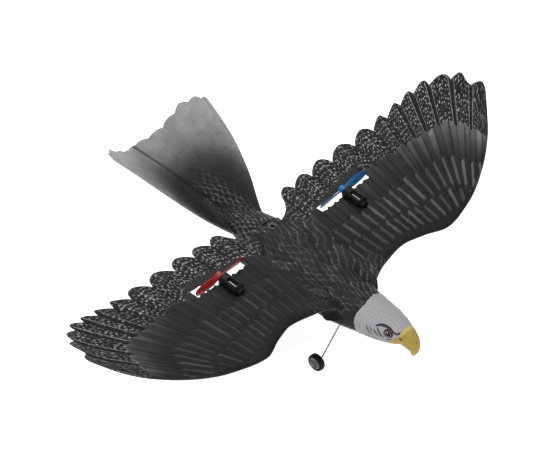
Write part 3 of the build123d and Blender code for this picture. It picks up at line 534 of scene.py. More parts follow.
def metal(name, colour, rough):
    """Drawn or foil metal with fine streaks."""
    n = Nodes(name)
    streak = n.noise(n.place(), 1.2, 5.0)
    base = n.layer(n.step(streak, 0.3, 0.7), tuple(c * 0.72 for c in colour), colour)
    return n.finish(base, n.step(streak, 0.3, 0.7, *rough), n.bump(streak, 0.15, 0.08), Metallic=1.0)


def board_mask(name):
    """Green solder mask with pale traces and pads."""
    n = Nodes(name)
    traces = n.add("ShaderNodeTexBrick", out="Fac", inputs={"Vector": n.place(), "Scale": 0.35, "Mortar Size": 0.05})
    base = n.layer(traces, (0.01, 0.09, 0.035), (0.03, 0.20, 0.08))
    return n.finish(base, 0.35, n.bump(traces, 0.3, 0.1))


FEATHER = feather_foam("feather_foam")
CHARCOAL = plain_foam("charcoal_foam")
CUT_FOAM = cut_foam("cut_foam")
# painted shade: near-black foam on the walls of slits, holes, recesses and windows, darker than the cut foam, for
# the shade inside them
RECESS_SHADE_FOAM = plastic("slit_shade_foam", 0.003, 0.006, (0.6, 0.7))
GLOSS_BLACK = plastic("gloss_black", 0.003, 0.006, (0.16, 0.3), bump=0.05, scuff=0.02, Specular_IOR_Level=0.22)
POD_BLACK = plastic("pod_black", 0.004, 0.008, (0.3, 0.45), bump=0.1, scuff=0.02, Specular_IOR_Level=0.12)
HEAD_PAINT = head_paint("head_paint")
BEAK_PAINT = beak_paint("beak_paint")
EYE_PAINT = eye_paint("eye_paint")
SLOT_MATERIALS = {
    "charcoal_foam": CUT_FOAM,
    "white_foam": CUT_FOAM,
    "beak_paint": BEAK_PAINT,
    "carbon": plastic("carbon_rod", (0.012, 0.012, 0.013), (0.03, 0.03, 0.032), (0.25, 0.4), grain=3.0),
    "black_plastic": plastic("black_plastic", (0.006, 0.006, 0.007), (0.014, 0.014, 0.015), (0.28, 0.42),
                             bump=0.1),
    "red_plastic": plastic("red_plastic", (0.24, 0.008, 0.008), (0.29, 0.012, 0.011), (0.3, 0.42), bump=0.06,
                           scuff=0.03),
    "blue_plastic": plastic("blue_plastic", (0.003, 0.088, 0.25), (0.005, 0.115, 0.30), (0.3, 0.42), bump=0.06,
                            scuff=0.03),
    "steel": metal("drawn_steel", (0.62, 0.62, 0.62), (0.28, 0.45)),
    "grey_plastic": plastic("grey_plastic", (0.13, 0.13, 0.135), (0.19, 0.19, 0.195), (0.35, 0.5)),
    "tyre": plastic("tyre_rubber", 0.010, 0.020, (0.5, 0.7), grain=2.2, bump=0.3),
    "wire": plastic("wire_sleeve", 0.012, 0.02, (0.4, 0.55)),
    "board": board_mask("board_mask"),
    "cell": metal("cell_foil", (0.55, 0.55, 0.57), (0.3, 0.5)),
    "lamp": plastic("red_lens", (0.45, 0.015, 0.01), (0.6, 0.03, 0.02), (0.1, 0.2), bump=0.03, scuff=0.0),
}
LEG_WIRE = metal("leg_wire", (0.16, 0.16, 0.165), (0.30, 0.45))
TYRE_RUBBER = plastic("tyre_rubber_ribbed", 0.003, 0.007, (0.5, 0.65), grain=2.2, bump=0.3, scuff=0.02,
                      Specular_IOR_Level=0.12)

# ---------------------------------------------------------------- wings
rise = smooth_curve(WING_RISE)
front_edge = smooth_curve(LEADING_EDGE)
notches, tips = np.array(NOTCHES, float), np.array(FEATHER_TIPS, float)
chords = np.diff(notches, axis=0)
tip_share = np.sum((tips - notches[:-1]) * chords, 1) / np.sum(chords ** 2, 1)
tip_reach = tips - notches[:-1] - chords * tip_share[:, None]
tip_power = np.log(0.5) / np.log(np.clip(tip_share, 0.05, 0.95))
quill_share = np.where(np.arange(len(tips)) < PRIMARIES, PRIMARY_QUILL, tip_share)
COLUMNS = [44] + [24] * 11 + [14]
ROW_COUNT = 177
ROWS = {
    "a": dict(mix=0.6, pitch=8.8, bevel=0.024, uneven=0.010, seed=2.0, joint=0.7),
    "b": dict(mix=0.5, pitch=12.4, bevel=0.045, uneven=0.030, seed=5.0, joint=0.6),
    "c": dict(mix=0.5, pitch=10.2, bevel=0.050, uneven=0.030, seed=8.0, joint=0.6),
}


def wing_columns():
    """Column places along the wing: feather number plus share across it, with one column on each quill."""
    places = []
    for k, count in enumerate(COLUMNS):
        first = max(2, int(round(count * quill_share[k])))
        shares = np.concatenate([np.linspace(0, quill_share[k], first + 1)[:-1],
                                 np.linspace(quill_share[k], 1, count - first + 1)[:-1]])
        places.extend(k + shares)
    return np.array(places + [len(COLUMNS)])


def wing_skin(x, y, v):
    """Height of the wing's upper skin: arched along the chord, and sunk into the shoulder at its front root."""
    return rise(x) + 1.2 * np.sin(np.pi * np.clip(v * 1.15, 0, 1)) - 8.5 * ease(44, 15, x) * ease(-88, -126, y)


def wing_lattice():
    """The left wing's lattice of points from front edge (v = 0) to feather tips (v = 1), and its measures."""
    u = wing_columns()[None, :]
    v = np.linspace(0, 1, ROW_COUNT)[:, None]
    v = 0.5 * (v + ease(-0.15, 1.15, v))
    v = (v - v[0]) / (v[-1] - v[0])
    k = np.minimum(u.astype(int), len(COLUMNS) - 1)
    share = u - k
    anchor_x = np.interp(u, np.arange(len(ANCHORS)), ANCHORS)
    foot = np.stack([anchor_x, front_edge(anchor_x)], -1)
    lobe = np.sin(np.pi * share ** tip_power[k]) ** 0.8
    end = notches[k] + chords[k] * share[..., None] + tip_reach[k] * lobe[..., None]
    point = foot + (end - foot) * v[..., None]
    length = np.linalg.norm(end - foot, axis=-1)
    border = np.array([ANCHORS, front_edge(np.array(ANCHORS, float))]).T
    edge_lines = border[None] + (notches - border)[None] * v[..., None]
    width = np.linalg.norm(np.diff(edge_lines, axis=1), axis=-1)[:, k[0]]
    return SimpleNamespace(u=u, v=v, k=k, share=share, foot=foot, end=end, x=point[..., 0], y=point[..., 1],
                           length=length, width=width)


def covert_row(wing, front, rear, mix, pitch, bevel, uneven, seed, joint):
    """A row of coverts between two lines of the wing: panels side by side, counted outwards from the root.
    It gives each point's panel number and share across it, the free ends' line, how far past that line the
    point is, how far it has climbed, and the joints between the panels."""
    at = (1 - mix) * front + mix * rear
    points = (wing.foot + (wing.end - wing.foot) * at[..., None])[0]
    steps = np.linalg.norm(np.diff(points, axis=0), axis=1)
    reach = np.concatenate([[0], np.cumsum(steps[::-1])])[::-1]
    place = reach / pitch + 0.22 * np.sin(reach / 17.0)
    number = np.floor(place)[None, :]
    share = place[None, :] - number
    corner = -bevel * np.clip(np.abs(share - 0.45) / 0.55 - 0.35, 0, 1)
    end = rear + corner + uneven * (hash01(number, seed) - 0.5)
    soft = 0.9 / wing.length
    return SimpleNamespace(
        number=number, share=share, end=end, past=ease(-soft, soft, wing.v - end),
        climb=np.clip((wing.v - front) / np.maximum(rear - front, 0.02), 0, 1),
        joint=np.exp(-(np.minimum(share, 1 - share) * pitch / joint) ** 2))


def facets(row, lean, strip_start, strip_end, fold):
    """The lifted strip, which the caller paints bright as a highlight, and the long fold of each panel in a row."""
    part = row.share + lean * (row.climb - 0.5)
    return ease(*strip_start, part) * ease(*strip_end, part), 1 - np.abs(part - fold) / 0.6


def wing_grid():
    """Top points, bottom points and paint of the left wing."""
    wing = wing_lattice()
    u, v, k, share, x, y = wing.u, wing.v, wing.k, wing.share, wing.x, wing.y
    length, width = wing.length, wing.width
    along = v * length
    mm_across = (share - quill_share[k]) * width
    outer = k < PRIMARIES
    line_a, line_b, line_c, line_d = (smooth_curve(row)(u) for row in (ROW_A, ROW_B, ROW_C, ROW_D))
    a = covert_row(wing, line_b, line_a, **ROWS["a"])
    b = covert_row(wing, line_c, line_b, **ROWS["b"])
    c = covert_row(wing, line_d, line_c, **ROWS["c"])
    flight = a.past
    soft = 2.7 / length
    band = 1 - ease(-soft, soft, v - np.maximum(line_d, (2.5 + 5.0 * ease(12.8, 10.5, u)) / length))
    in_a, in_b, in_c = (1 - flight) * b.past, (1 - b.past) * c.past, (1 - c.past) * (1 - band)

    # flight feathers: crowned, with a quill ridge, and on the primaries a sunken smooth strip beside each
    edge_mm = np.minimum(share, 1 - share) * width
    gap = ease(0.12, 0.08, share) * outer
    quill_mm = np.abs(mm_across)
    second = np.where(outer, np.abs(share - 0.97) * width, 9.0)
    flight_h = (1.3 * (1 - (2 * share - 1) ** 2) - 0.3 * gap + 0.7 * np.exp(-(mm_across / 0.8) ** 2)
                - 0.8 * np.exp(-(edge_mm / 0.9) ** 2))

    # coverts: panels that climb to their free ends; the front rows are faceted, with one lifted strip each that is
    # painted bright as a highlight
    strip_b, fold_b = facets(b, 0.20, (0.13, 0.17), (0.44, 0.41), 0.43)
    strip_c, fold_c = facets(c, 0.26, (0.13, 0.18), (0.47, 0.43), 0.46)
    a_h = 0.5 + 1.9 * a.climb + 0.5 * (a.share - 0.5) * (1 - 2 * (a.number % 2)) - 0.55 * a.joint
    b_h = 0.7 + 1.0 * b.climb + 0.45 * fold_b - 0.22 * b.joint
    c_h = 0.8 + 0.9 * c.climb + 0.45 * fold_c - 0.22 * c.joint
    relief = flight * flight_h + in_a * a_h + in_b * b_h + in_c * c_h + band * 1.0
    over_slot = ease(SLOT_X[0] - 3, SLOT_X[0] + 1, x) * ease(SLOT_X[1] + 3, SLOT_X[1] - 1, x)
    over_slot = over_slot * ease(SLOT_Y[0] + 4, SLOT_Y[0] + 7, y) * ease(RAMP_END_Y + 5, RAMP_END_Y + 1, y)
    relief = relief + (0.9 - relief) * over_slot

    # painted light on the coverts: each panel a little lighter towards its free end and a light lip there, both
    # painted highlight, and a dark line behind the lip, which is painted shade
    outer_painted_light = ease(7.5, 2.5, u)
    # painted highlight: each panel lighter towards its free end, more so on the outer wing
    painted_light_a = (0.006 + (0.020 + 0.080 * outer_painted_light) * a.climb ** 1.6) * (0.35 + 1.1 * hash01(a.number, 1.0))
    tone_a = (BASE_TONE + painted_light_a) * (1 - 0.85 * a.joint)
    # painted highlight on the lifted strip of each panel in the front rows
    painted_light_b = strip_b * ease(0.02, 0.16, b.climb) * (0.45 + 0.9 * hash01(b.number, 3.0))
    painted_light_c = strip_c * ease(0.05, 0.25, c.climb) * (0.35 + 0.9 * hash01(c.number, 6.0))
    painted_light_fade = ease(13.0, 11.0, u)
    tone_b = BASE_TONE + 0.050 * painted_light_b * painted_light_fade + 0.004 * b.climb * (1 - b.joint)
    tone_c = BASE_TONE + 0.050 * painted_light_c * painted_light_fade
    # painted highlight along the free end of each covert panel
    lip_highlight_a, lip_highlight_b, lip_highlight_c = (
        np.exp(-((v - row.end) * length / 0.8 + 0.9) ** 2) * (0.4 + 0.6 * ease(0.1, 0.5, row.share))
        for row in (a, b, c))
    lip_highlights = 0.024 * lip_highlight_a + 0.014 * (lip_highlight_b + lip_highlight_c)
    # painted shade: a dark line just past each covert's lip, on the feathers it overlaps
    under_lip_shade = sum(np.exp(-((v - row.end) * length / 0.9 - 0.9) ** 2) for row in (a, b, c))
    tone = flight * BASE_TONE + in_a * tone_a + in_b * tone_b + in_c * tone_c + band * 0.011
    tone = (tone + lip_highlights * (1 - band)) * (1 - 0.6 * np.clip(under_lip_shade, 0, 1) * (1 - flight))
    inner_fade = ease(12.9, 12.1, u)
    rim_mm = length - along
    # painted highlight along the tip edge of each inner flight feather
    tone = tone + 0.10 * np.exp(-((rim_mm - 1.0) / 0.7) ** 2) * flight * inner_fade
    dash = flight * ease(0.0, 1.0, edge_mm / 1.2) * (1 - gap) * ease(0.8, 2.2, rim_mm)

    # the shoulder's scales run out over the front root of the wing, their edges painted light as a highlight
    height_s, edge_highlight_s, random_s = back_scales(x, y)
    shoulder = ease(64, 46, x) * ease(-96, -106, y)
    relief = relief + (1.0 + (height_s - 0.55) * 1.5 - relief) * shoulder
    tone = tone + (0.010 + 0.010 * random_s + edge_highlight_s * (0.03 + 0.15 * random_s ** 2) - tone) * shoulder

    # edges: a round leading edge and a thin round trailing edge
    thick = np.interp(x, *WING_THICKNESS) * (0.45 + 0.55 * ease(1.0, 0.35, v + 0 * x))
    rear_t = np.clip(rim_mm * 1.6 / (thick * 0.9), 0, 1)
    rear = np.sqrt(np.clip(1 - (1 - rear_t) ** 2, 0, 1))
    half = rear * np.sqrt(np.clip(1 - (1 - np.clip(along / 13, 0, 1)) ** 3, 0, 1))
    low_half = rear * np.sqrt(np.clip(1 - (1 - np.clip(along / 4, 0, 1)) ** 2, 0, 1))
    middle = wing_skin(x, y, v) - thick / 2 - 1.4
    top = middle + thick / 2 * half + (relief - 0.9) * half
    bottom = middle - thick / 2 * low_half - 0.25 * flight_h * half * flight
    dash_x = np.where(outer, np.abs(mm_across - 0.44 * width), quill_mm)
    shown_quill = np.where(outer, np.minimum(quill_mm, second), quill_mm + 0.25)
    paint = {
        "tone": tone,
        "flight": dash * inner_fade,
        "across": dash_x,
        "along": along + np.where(outer, 0.9, 0.2) * dash_x,
        "feather": (k * 3.7) + 0 * v,
        "quill": np.where(flight > 0.5, shown_quill, 9.0) + 9 * (1 - inner_fade) + 2 * ease(3, 0, rim_mm),
    }
    return np.stack([x, y, top], -1), np.stack([x, y, bottom], -1)[::2, ::2], paint


def build_wing(side, body="airframe"):
    """One foam wing: side is +1 for the bird's left and -1 for its right."""
    top, bottom, paint = wing_grid()
    verts, faces = slab(top, bottom)
    if side < 0:
        verts = verts * [-1, 1, 1]
        faces = [f[::-1] for f in faces]
    attributes = {}
    for key, values in paint.items():
        lower = values[::2, ::2]
        lower = lower * 0.35 if key == "flight" else lower
        # the right wing's coverts get less of the painted highlight and shade, as the light falls less on their
        # facets
        if key == "tone" and side < 0:
            coverts = BASE_TONE + RIGHT_COVERT_PAINTED_LIGHT * (values - BASE_TONE)
            values = np.where(paint["flight"] > 0.01, values, coverts)
        attributes[key] = np.concatenate([values.ravel(), lower.ravel()])
    name = "left_wing_foam" if side > 0 else "right_wing_foam"
    wing = make_piece(name, verts, faces, body, FEATHER, attributes)
    # the slot has a wavy front edge, and the ramp climbs from its rear edge to the skin
    x0, x1 = sorted((side * SLOT_X[0], side * SLOT_X[1]))
    y0, y1 = SLOT_Y
    low_z, high_z = SLOT_Z
    xs = np.linspace(x0, x1, 49)
    wave = y0 + 0.9 * np.sin(xs * 2 * np.pi / 9.0) + 0.5 * np.sin(xs * 2 * np.pi / 5.3)
    slot = prism_cutter("slot_cutter", list(zip(xs, wave)) + [(x1, y1), (x0, y1)], low_z, high_z)
    skin = float(rise(np.array(SHAFT_X)))
    ramp_y = (y1 - 3, RAMP_END_Y + 1)
    deep = skin - RAMP_DEPTH - 1.3
    floor_low = rectangle((x0, x1), ramp_y, deep)[:2] + rectangle((x0, x1), ramp_y, skin + 1.5)[2:]
    ramp = box_cutter("ramp_cutter", floor_low, rectangle((x0, x1), ramp_y, high_z))
    carve(wing, [slot, ramp], CUT_FOAM)
    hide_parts("left_wing" if side > 0 else "right_wing")
    return wing


# ---------------------------------------------------------------- body
body_centre, body_radius = curves(BODY_SECTIONS)
BODY_ROWS, BODY_TOP, BODY_LOW = 190, 150, 70


def body_rings(y):
    """Rings of the body at each y: a top that runs out over the wing roots, and a round underside."""
    y = y[:, None]
    radius, centre = body_radius(y), body_centre(y)
    half_arc = math.pi / 2 * BODY_ARC
    spread = SHOULDER_SPREAD * ease(-138, -118, y) * ease(16, -4, y)
    t = np.linspace(-1, 1, BODY_TOP)[None, :]
    angle = t * math.pi / 2 * BODY_ARC
    reach = np.abs(np.sin(angle)) / math.sin(half_arc)
    x = np.sin(angle) * radius + np.sign(t) * spread * reach ** 3
    ax = np.abs(x)
    inner = np.minimum(ax, radius * 0.999)
    round_z = centre + np.sqrt(radius ** 2 - inner ** 2) - ease(radius, radius + 6, ax) * 6
    on_wing = ease(front_edge(ax) + 1, front_edge(ax) + 16, y) * ease(24 - ax, 10 - ax, y)
    shelf = wing_skin(ax, y, 0.5) + 0.4 - 4.0 * ease(0.80, 1.0, reach)
    shelf = centre + (shelf - centre) * on_wing
    z = np.where(spread > 0.01, soft_max(round_z, shelf, SHOULDER_FILLET), round_z)
    low = np.linspace(0.14, 1 - 0.14, BODY_LOW)[None, :]
    turn = half_arc + (2 * math.pi - math.pi * BODY_ARC) * low
    x_low, z_low = np.sin(turn) * radius, centre + np.cos(turn) * radius
    return np.concatenate([x, x_low + 0 * y], 1), np.concatenate([z, z_low], 1)


def build_body():
    """The foam body: scale feathers over the back, smooth neck sides and belly."""
    low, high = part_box("back_eyelet")
    eyelet_centre = ((low.x + high.x) / 2 / MM, (low.y + EYELET_OFFSET * MM) / MM)
    ys = np.linspace(*BODY_Y, BODY_ROWS)
    x, z = body_rings(ys)
    y = ys[:, None] + 0 * x
    height, line, random = back_scales(x, y)
    # the scales' light edges, which are painted highlight, stop short of the wing roots' underside
    line[:, :BODY_TOP] *= ease(1.0, 0.93, np.abs(np.linspace(-1, 1, BODY_TOP)))
    upper = ease(84, 99, z)
    throat = ease(-132, -146, y) * ease(12, 20, np.abs(x))
    shown = upper * (1 - 0.8 * throat)
    # painted highlight along the scales' free edges on the upper body
    tone = 0.010 + 0.010 * random * shown + line * (0.03 + 0.15 * random ** 2) * shown
    # sunk where the head sits over the neck, and faintly scaled below
    raise_mm = (height - 0.55) * SCALE_RISE * shown - NECK_TUCK * ease(-149.0, -152.0, y)
    low_height = scales(np.arctan2(x, z - 82) * 30 / 9.0, y / 9.5)[0]
    raise_mm = raise_mm + (low_height - 0.5) * 0.5 * (1 - upper)
    normal_x, normal_z = x, z - body_centre(y)
    size = np.maximum(np.hypot(normal_x, normal_z), 1)
    # the belly keeps its true size
    keep = 1 - ease(60, 54, z)
    x2 = x + normal_x / size * raise_mm * keep
    z2 = z + np.where(z > 98, 1.0, normal_z / size) * raise_mm * keep
    first, last = ([0, end, float(body_centre(end))] for end in (ys[0], ys[-1]))
    verts, faces = tube(np.stack([x2, y, z2], -1), first, last)
    tone = np.append(tone.ravel(), [0.014, 0.014])
    body = make_piece("body_foam", verts, faces, "airframe", CHARCOAL, {"tone": tone})
    recess = box_cutter("recess_cutter", *(rectangle(COVER_X, COVER_Y, end) for end in COVER_Z))
    slit = box_cutter("slit_cutter", *(rectangle(SLIT_X, SLIT_Y, end) for end in SLIT_Z))
    hole = prism_cutter("hole_cutter", ring_outline(eyelet_centre, EYELET_HOLE), *HOLE_Z)
    # the walls of the recess, slit and hole carry painted shade
    carve(body, [recess, slit, hole], RECESS_SHADE_FOAM)
    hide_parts("back_shell", "belly_shell")
    return body


# ---------------------------------------------------------------- tail
FAN_START = 10
FAN_ROWS = 181
FAN_COLUMNS_PER_TIP = 22
CONE_Y = (7.4, 73.5)
CONE_ROWS, CONE_COLUMNS = 80, 160
STROKE = (6.0, 9.0)


def fan_strokes(x, y):
    """Short dark brush strokes on a staggered lattice, only in some of its cells."""
    across, along = x / STROKE[0], (y + 0.3 * np.abs(x)) / STROKE[1]
    row = np.floor(along)
    shift = 0.5 * np.mod(row, 2)
    pick = hash01(np.floor(across + shift), row)
    gx = (np.mod(across + shift, 1) - 0.5) * STROKE[0]
    gy = (np.mod(along, 1) - 0.5) * STROKE[1]
    mark = np.exp(-((gx + 0.4 * gy) / 0.9) ** 2 - (gy / 2.3) ** 2)
    return mark * (pick > 0.55) * ease(60, 80, y) * ease(165, 120, y)


def fan_outline(edge_x):
    """Columns of the fan from one outer edge to the other: share of the half width, rear y and feather number."""
    tip_y = [y for x, y in TAIL_TIPS]
    tip_f = [x / float(edge_x(np.array(float(y)))) for x, y in TAIL_TIPS]
    last = len(TAIL_TIPS) - 1
    at = np.arange(last + 1)
    u = np.linspace(0, last, last * FAN_COLUMNS_PER_TIP + 1)
    share = np.interp(u, at, tip_f)
    share[0] = 1.0
    rear = np.interp(u, at, tip_y) - np.interp(u, at, TAIL_LOBES) * (1 - np.abs(np.cos(np.pi * u)) ** 0.6)
    rear = rear - 5.0 * np.clip(1 - u / 0.25, 0, 1) ** 2
    mirrored = ((share, -share), (rear, rear), (u, u))
    return [np.concatenate([half, other[::-1][1:]]) for half, other in mirrored]


def tail_fan_skin():
    """Points, faces and tones of the V-shaped fan."""
    edge_x, slope = smooth_curve(TAIL_EDGE), smooth_curve(TAIL_SLOPES)
    crease, shade = smooth_curve(TAIL_CREASE), smooth_curve(TAIL_SHADES)
    share, rear, feather = fan_outline(edge_x)
    v = np.linspace(0, 1, FAN_ROWS)[:, None]
    y = FAN_START + v * (rear[None] - FAN_START)
    x = share[None] * edge_x(y)
    ax = np.abs(x)
    flat = crease(y) + slope(y) * (np.sqrt(ax ** 2 + 6.0) - 2.45)
    fold = np.exp(-(ax / 1.8) ** 2) * ease(50, 80, y)
    height, line, random = scales(x / 5.0, (y + 0.5 * ax) / 7.0)
    core = ease(26, 12, ax) * ease(135, 95, y)
    vane = np.abs(np.mod(feather + 0.5, 1) - 0.5)
    ridge = 0.35 * np.exp(-(vane / 0.05) ** 2) * ease(70, 140, y)
    ridge = ridge - 0.45 * np.exp(-((0.5 - vane) / 0.06) ** 2) * ease(90, 160, y)
    rim = np.minimum((1 - np.abs(share)) * edge_x(y), (rear[None] - y))
    half = np.sqrt(np.clip(1 - (1 - np.clip(rim / 1.7, 0, 1)) ** 2, 0, 1))
    relief = ((height - 0.5) * 0.9 * core + ridge) * half
    middle = flat - TAIL_THICKNESS / 2
    top = middle + (TAIL_THICKNESS / 2) * half + relief - 1.0 * fold
    low = middle - (TAIL_THICKNESS / 2) * half
    # the paint lightens towards the tips, and earlier at the outer edges; the earlier lightening at the edges is
    # partly painted light that offsets the shade of the down-sloping sides
    reach = y + 80 * share[None] ** 2
    light = ease(110, 200, reach)
    # the light line along each scale's free edge is painted highlight
    tone = shade(reach) + line * 0.16 * core * (0.35 + random)
    # the dark brush strokes are paint; the darkening along the centre crease is painted shade
    tone = tone * (1 - 0.35 * fan_strokes(x, y)) * (1 - 0.75 * fold)
    tone = tone + 0.05 * ease(2.0, 0.4, rim) * (1 - light)
    verts, faces = slab(np.stack([x, y, top], -1), np.stack([x, y, low], -1)[::2, ::2])
    tones = np.concatenate([tone.ravel(), (0.75 * tone + 0.01)[::2, ::2].ravel()])
    return verts, [f[::-1] for f in faces], tones


def build_tail():
    """The rump that carries the body's scales rearwards, and the V-shaped fan of tail feathers."""
    fan, fan_faces, fan_tones = tail_fan_skin()
    cone_z, cone_w, cone_h = curves(TAIL_CONE)
    ys = np.linspace(*CONE_Y, CONE_ROWS)[:, None]
    turn = full_turn(CONE_COLUMNS)[None, :]
    cx, cz = np.sin(turn) * cone_w(ys), np.cos(turn) * cone_h(ys)
    height, line, random = scales(cx / 4.6, (ys + 0.35 * np.abs(cx)) / 6.4)
    up = ease(-2, 4, cz) * ease(72, 52, ys)
    top = cone_z(ys) + cz + (height - 0.5) * 1.0 * up
    # painted highlight along the scales' free edges on the top of the rump
    tone = BASE_TONE + 0.005 * random + line * (0.08 + 0.20 * random ** 1.5) * up
    cone, cone_faces = tube(np.stack([cx, ys + 0 * cx, top], -1), [0, CONE_Y[0], 84], [0, CONE_Y[1], 84.6],
                            start=len(fan))
    tones = np.concatenate([fan_tones, tone.ravel(), [0.02, 0.02]])
    verts, faces = np.concatenate([fan, cone]), fan_faces + cone_faces
    tail = make_piece("tail_foam", verts, faces, "airframe", CHARCOAL, {"tone": tones})
    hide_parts("tail_fan")
    return tail


# ---------------------------------------------------------------- head
head_z, head_w, head_h = curves(HEAD_SECTIONS)
HEAD_ROWS, HEAD_COLUMNS = 150, 360
COLLAR_Y = -148.2
HEAD_FRONT_Y = -205.5
GAPE_LINE = [(70, -190), (78, -189), (83, -188.5), (86.5, -194), (92.5, -196.7), (97.2, -202.5), (100.3, -204.7),
             (103, -206.5), (108, -206)]
BROW = [(-198, 98.6), (-192.5, 101.2), (-185, 102.6), (-177, 101.2)]
EYE = (-188.6, 94.9)
EYE_RADIUS = 4.9
EYE_RINGS, EYE_COLUMNS = 16, 48
EYE_BULGE = 1.5
EYE_SINK = 0.75
GLINT = (0.9, 1.0)
GLINT_RADIUS = 0.5
# Painted strokes on each side of the head: (y, z) points and half width.
STROKES = [
    ([(-173.6, 97.9), (-176.5, 99.9), (-180.5, 101.4), (-184.8, 101.5), (-189.0, 101.0), (-192.6, 99.8)], 1.05),
    ([(-190.5, 100.6), (-194.0, 98.6), (-197.0, 97.6), (-199.4, 99.2), (-200.8, 101.2)], 0.95),
    ([(-163.1, 93.4), (-164.8, 89.7), (-167.2, 86.9), (-172.0, 84.9)], 0.60),
    ([(-166.3, 93.8), (-168.9, 91.1), (-171.2, 88.9)], 0.42),
    ([(-172.2, 93.2), (-174.4, 90.4), (-177.6, 88.1), (-180.4, 87.3)], 0.62),
    ([(-175.8, 96.4), (-178.0, 93.0), (-181.4, 89.7), (-185.3, 86.8)], 0.70),
    ([(-187.0, 85.4), (-190.2, 87.1), (-193.4, 88.5)], 0.62),
    ([(-157.2, 76.5), (-162.0, 77.2), (-167.0, 79.0)], 0.55),
    ([(-167.8, 78.4), (-172.0, 79.6), (-176.8, 81.6)], 0.55),
    ([(-160.5, 81.0), (-165.0, 81.6), (-169.5, 82.8)], 0.35),
    ([(-201.3, 92.9), (-202.4, 93.3), (-203.9, 93.8)], 1.15),
]


def stroke_distance(py, pz, line, count=24):
    """Distance from points to a smooth line through a few points, and how far along it the nearest place is."""
    at = np.linspace(0, 1, len(line))
    fine = np.linspace(0, 1, count)
    ys, zs = (smooth_curve(list(zip(at, [p[i] for p in line])))(fine) for i in (0, 1))
    line = list(zip(ys, zs))
    best = np.full(py.shape, 99.0)
    place = np.zeros(py.shape)
    for i, ((ay, az), (by, bz)) in enumerate(zip(line, line[1:])):
        dy, dz = by - ay, bz - az
        t = np.clip(((py - ay) * dy + (pz - az) * dz) / (dy * dy + dz * dz), 0, 1)
        d = np.hypot(py - ay - t * dy, pz - az - t * dz)
        place = np.where(d < best, (i + t) / (len(line) - 1), place)
        best = np.minimum(d, best)
    return best, place


def build_head():
    """The light head with a jagged collar, crown feathers and painted strokes round the eyes."""
    t = np.linspace(0, 1, HEAD_ROWS)[:, None]
    turn = full_turn(HEAD_COLUMNS)[None, :]
    jag = np.abs(np.mod(turn * 8 / math.pi + 0.5 * np.sin(turn * 5), 1) - 0.5) * 2
    collar = COLLAR_Y + 1.5 * (jag - 0.5) * (0.6 + 0.4 * np.sin(turn * 3 + 1)) + 1.1 * np.sin(turn * 4)
    y = collar + (HEAD_FRONT_Y - collar) * t
    w, h, c = head_w(y), head_h(y), head_z(y)
    flare = 1 + 0.02 * ease(-156, -150, y)
    x = np.sin(turn) * w * flare
    z = c + np.cos(turn) * h * flare
    # up: the top of the head, which the tone below makes lighter as painted light
    up = ease(0.0, 0.7, np.cos(turn))
    lock = np.sin(x * 1.9 + 2.0 * np.sin(y * 0.11)) * 0.5 + np.sin(x * 3.3 + y * 0.21) * 0.3
    crown = ease(0.50, 0.90, np.cos(turn))
    streak = lock * ease(-203, -196, y) * crown
    height, lock_line, _ = scales(x / 4.2, (y + 0.5 * np.abs(x)) / 8.5)
    # brow ridge over each eye, and a shallow socket round it
    brow, _ = stroke_distance(y, z, BROW)
    side = np.abs(np.sin(turn)) > 0.35
    eye = np.hypot(y - EYE[0], z - EYE[1])
    relief = 0.10 * streak + 0.60 * (height - 0.5) * crown
    relief = relief + 0.7 * np.exp(-(brow / 2.4) ** 2) * side - 0.6 * np.exp(-(eye / 4.6) ** 2) * side
    n = np.hypot(np.sin(turn) / w, np.cos(turn) / h)
    x = x + np.sin(turn) / w / n * relief
    z = z + np.cos(turn) / h / n * relief
    gape = np.clip(0.5 + (smooth_curve(GAPE_LINE)(z) - y) / 0.8, 0, 1)
    ink = np.zeros_like(y)
    for line, half in STROKES:
        d, place = stroke_distance(y, z, line)
        taper = 1.5 * half * (0.35 + 0.65 * np.sin(np.pi * np.clip(place * 0.9 + 0.08, 0, 1)))
        ink = np.maximum(ink, np.clip(0.5 + (taper - d) / 0.5, 0, 1))
    ring = np.abs(eye - EYE_RADIUS)
    ink = np.maximum(ink, np.clip(0.5 + (0.45 - ring) / 0.5, 0, 1)) * side
    # painted light: lighter towards the top of the head, where the light falls; the crown streaks and lock lines are
    # paint
    tone = 0.205 + 0.045 * up + 0.035 * streak - 0.03 * lock_line * crown
    verts, faces = tube(np.stack([x, y, z], -1), [0, -156, 85], [0, HEAD_FRONT_Y, 92.4], flip=True)
    attributes = {"tone": np.append(tone.ravel(), [0.4, 0.4]), "ink": np.append(ink.ravel(), [0, 0]),
                  "gape": np.append(gape.ravel(), [0, 1])}
    head = make_piece("head_foam", verts, faces, "airframe", HEAD_PAINT, attributes)
    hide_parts("head")
    return head


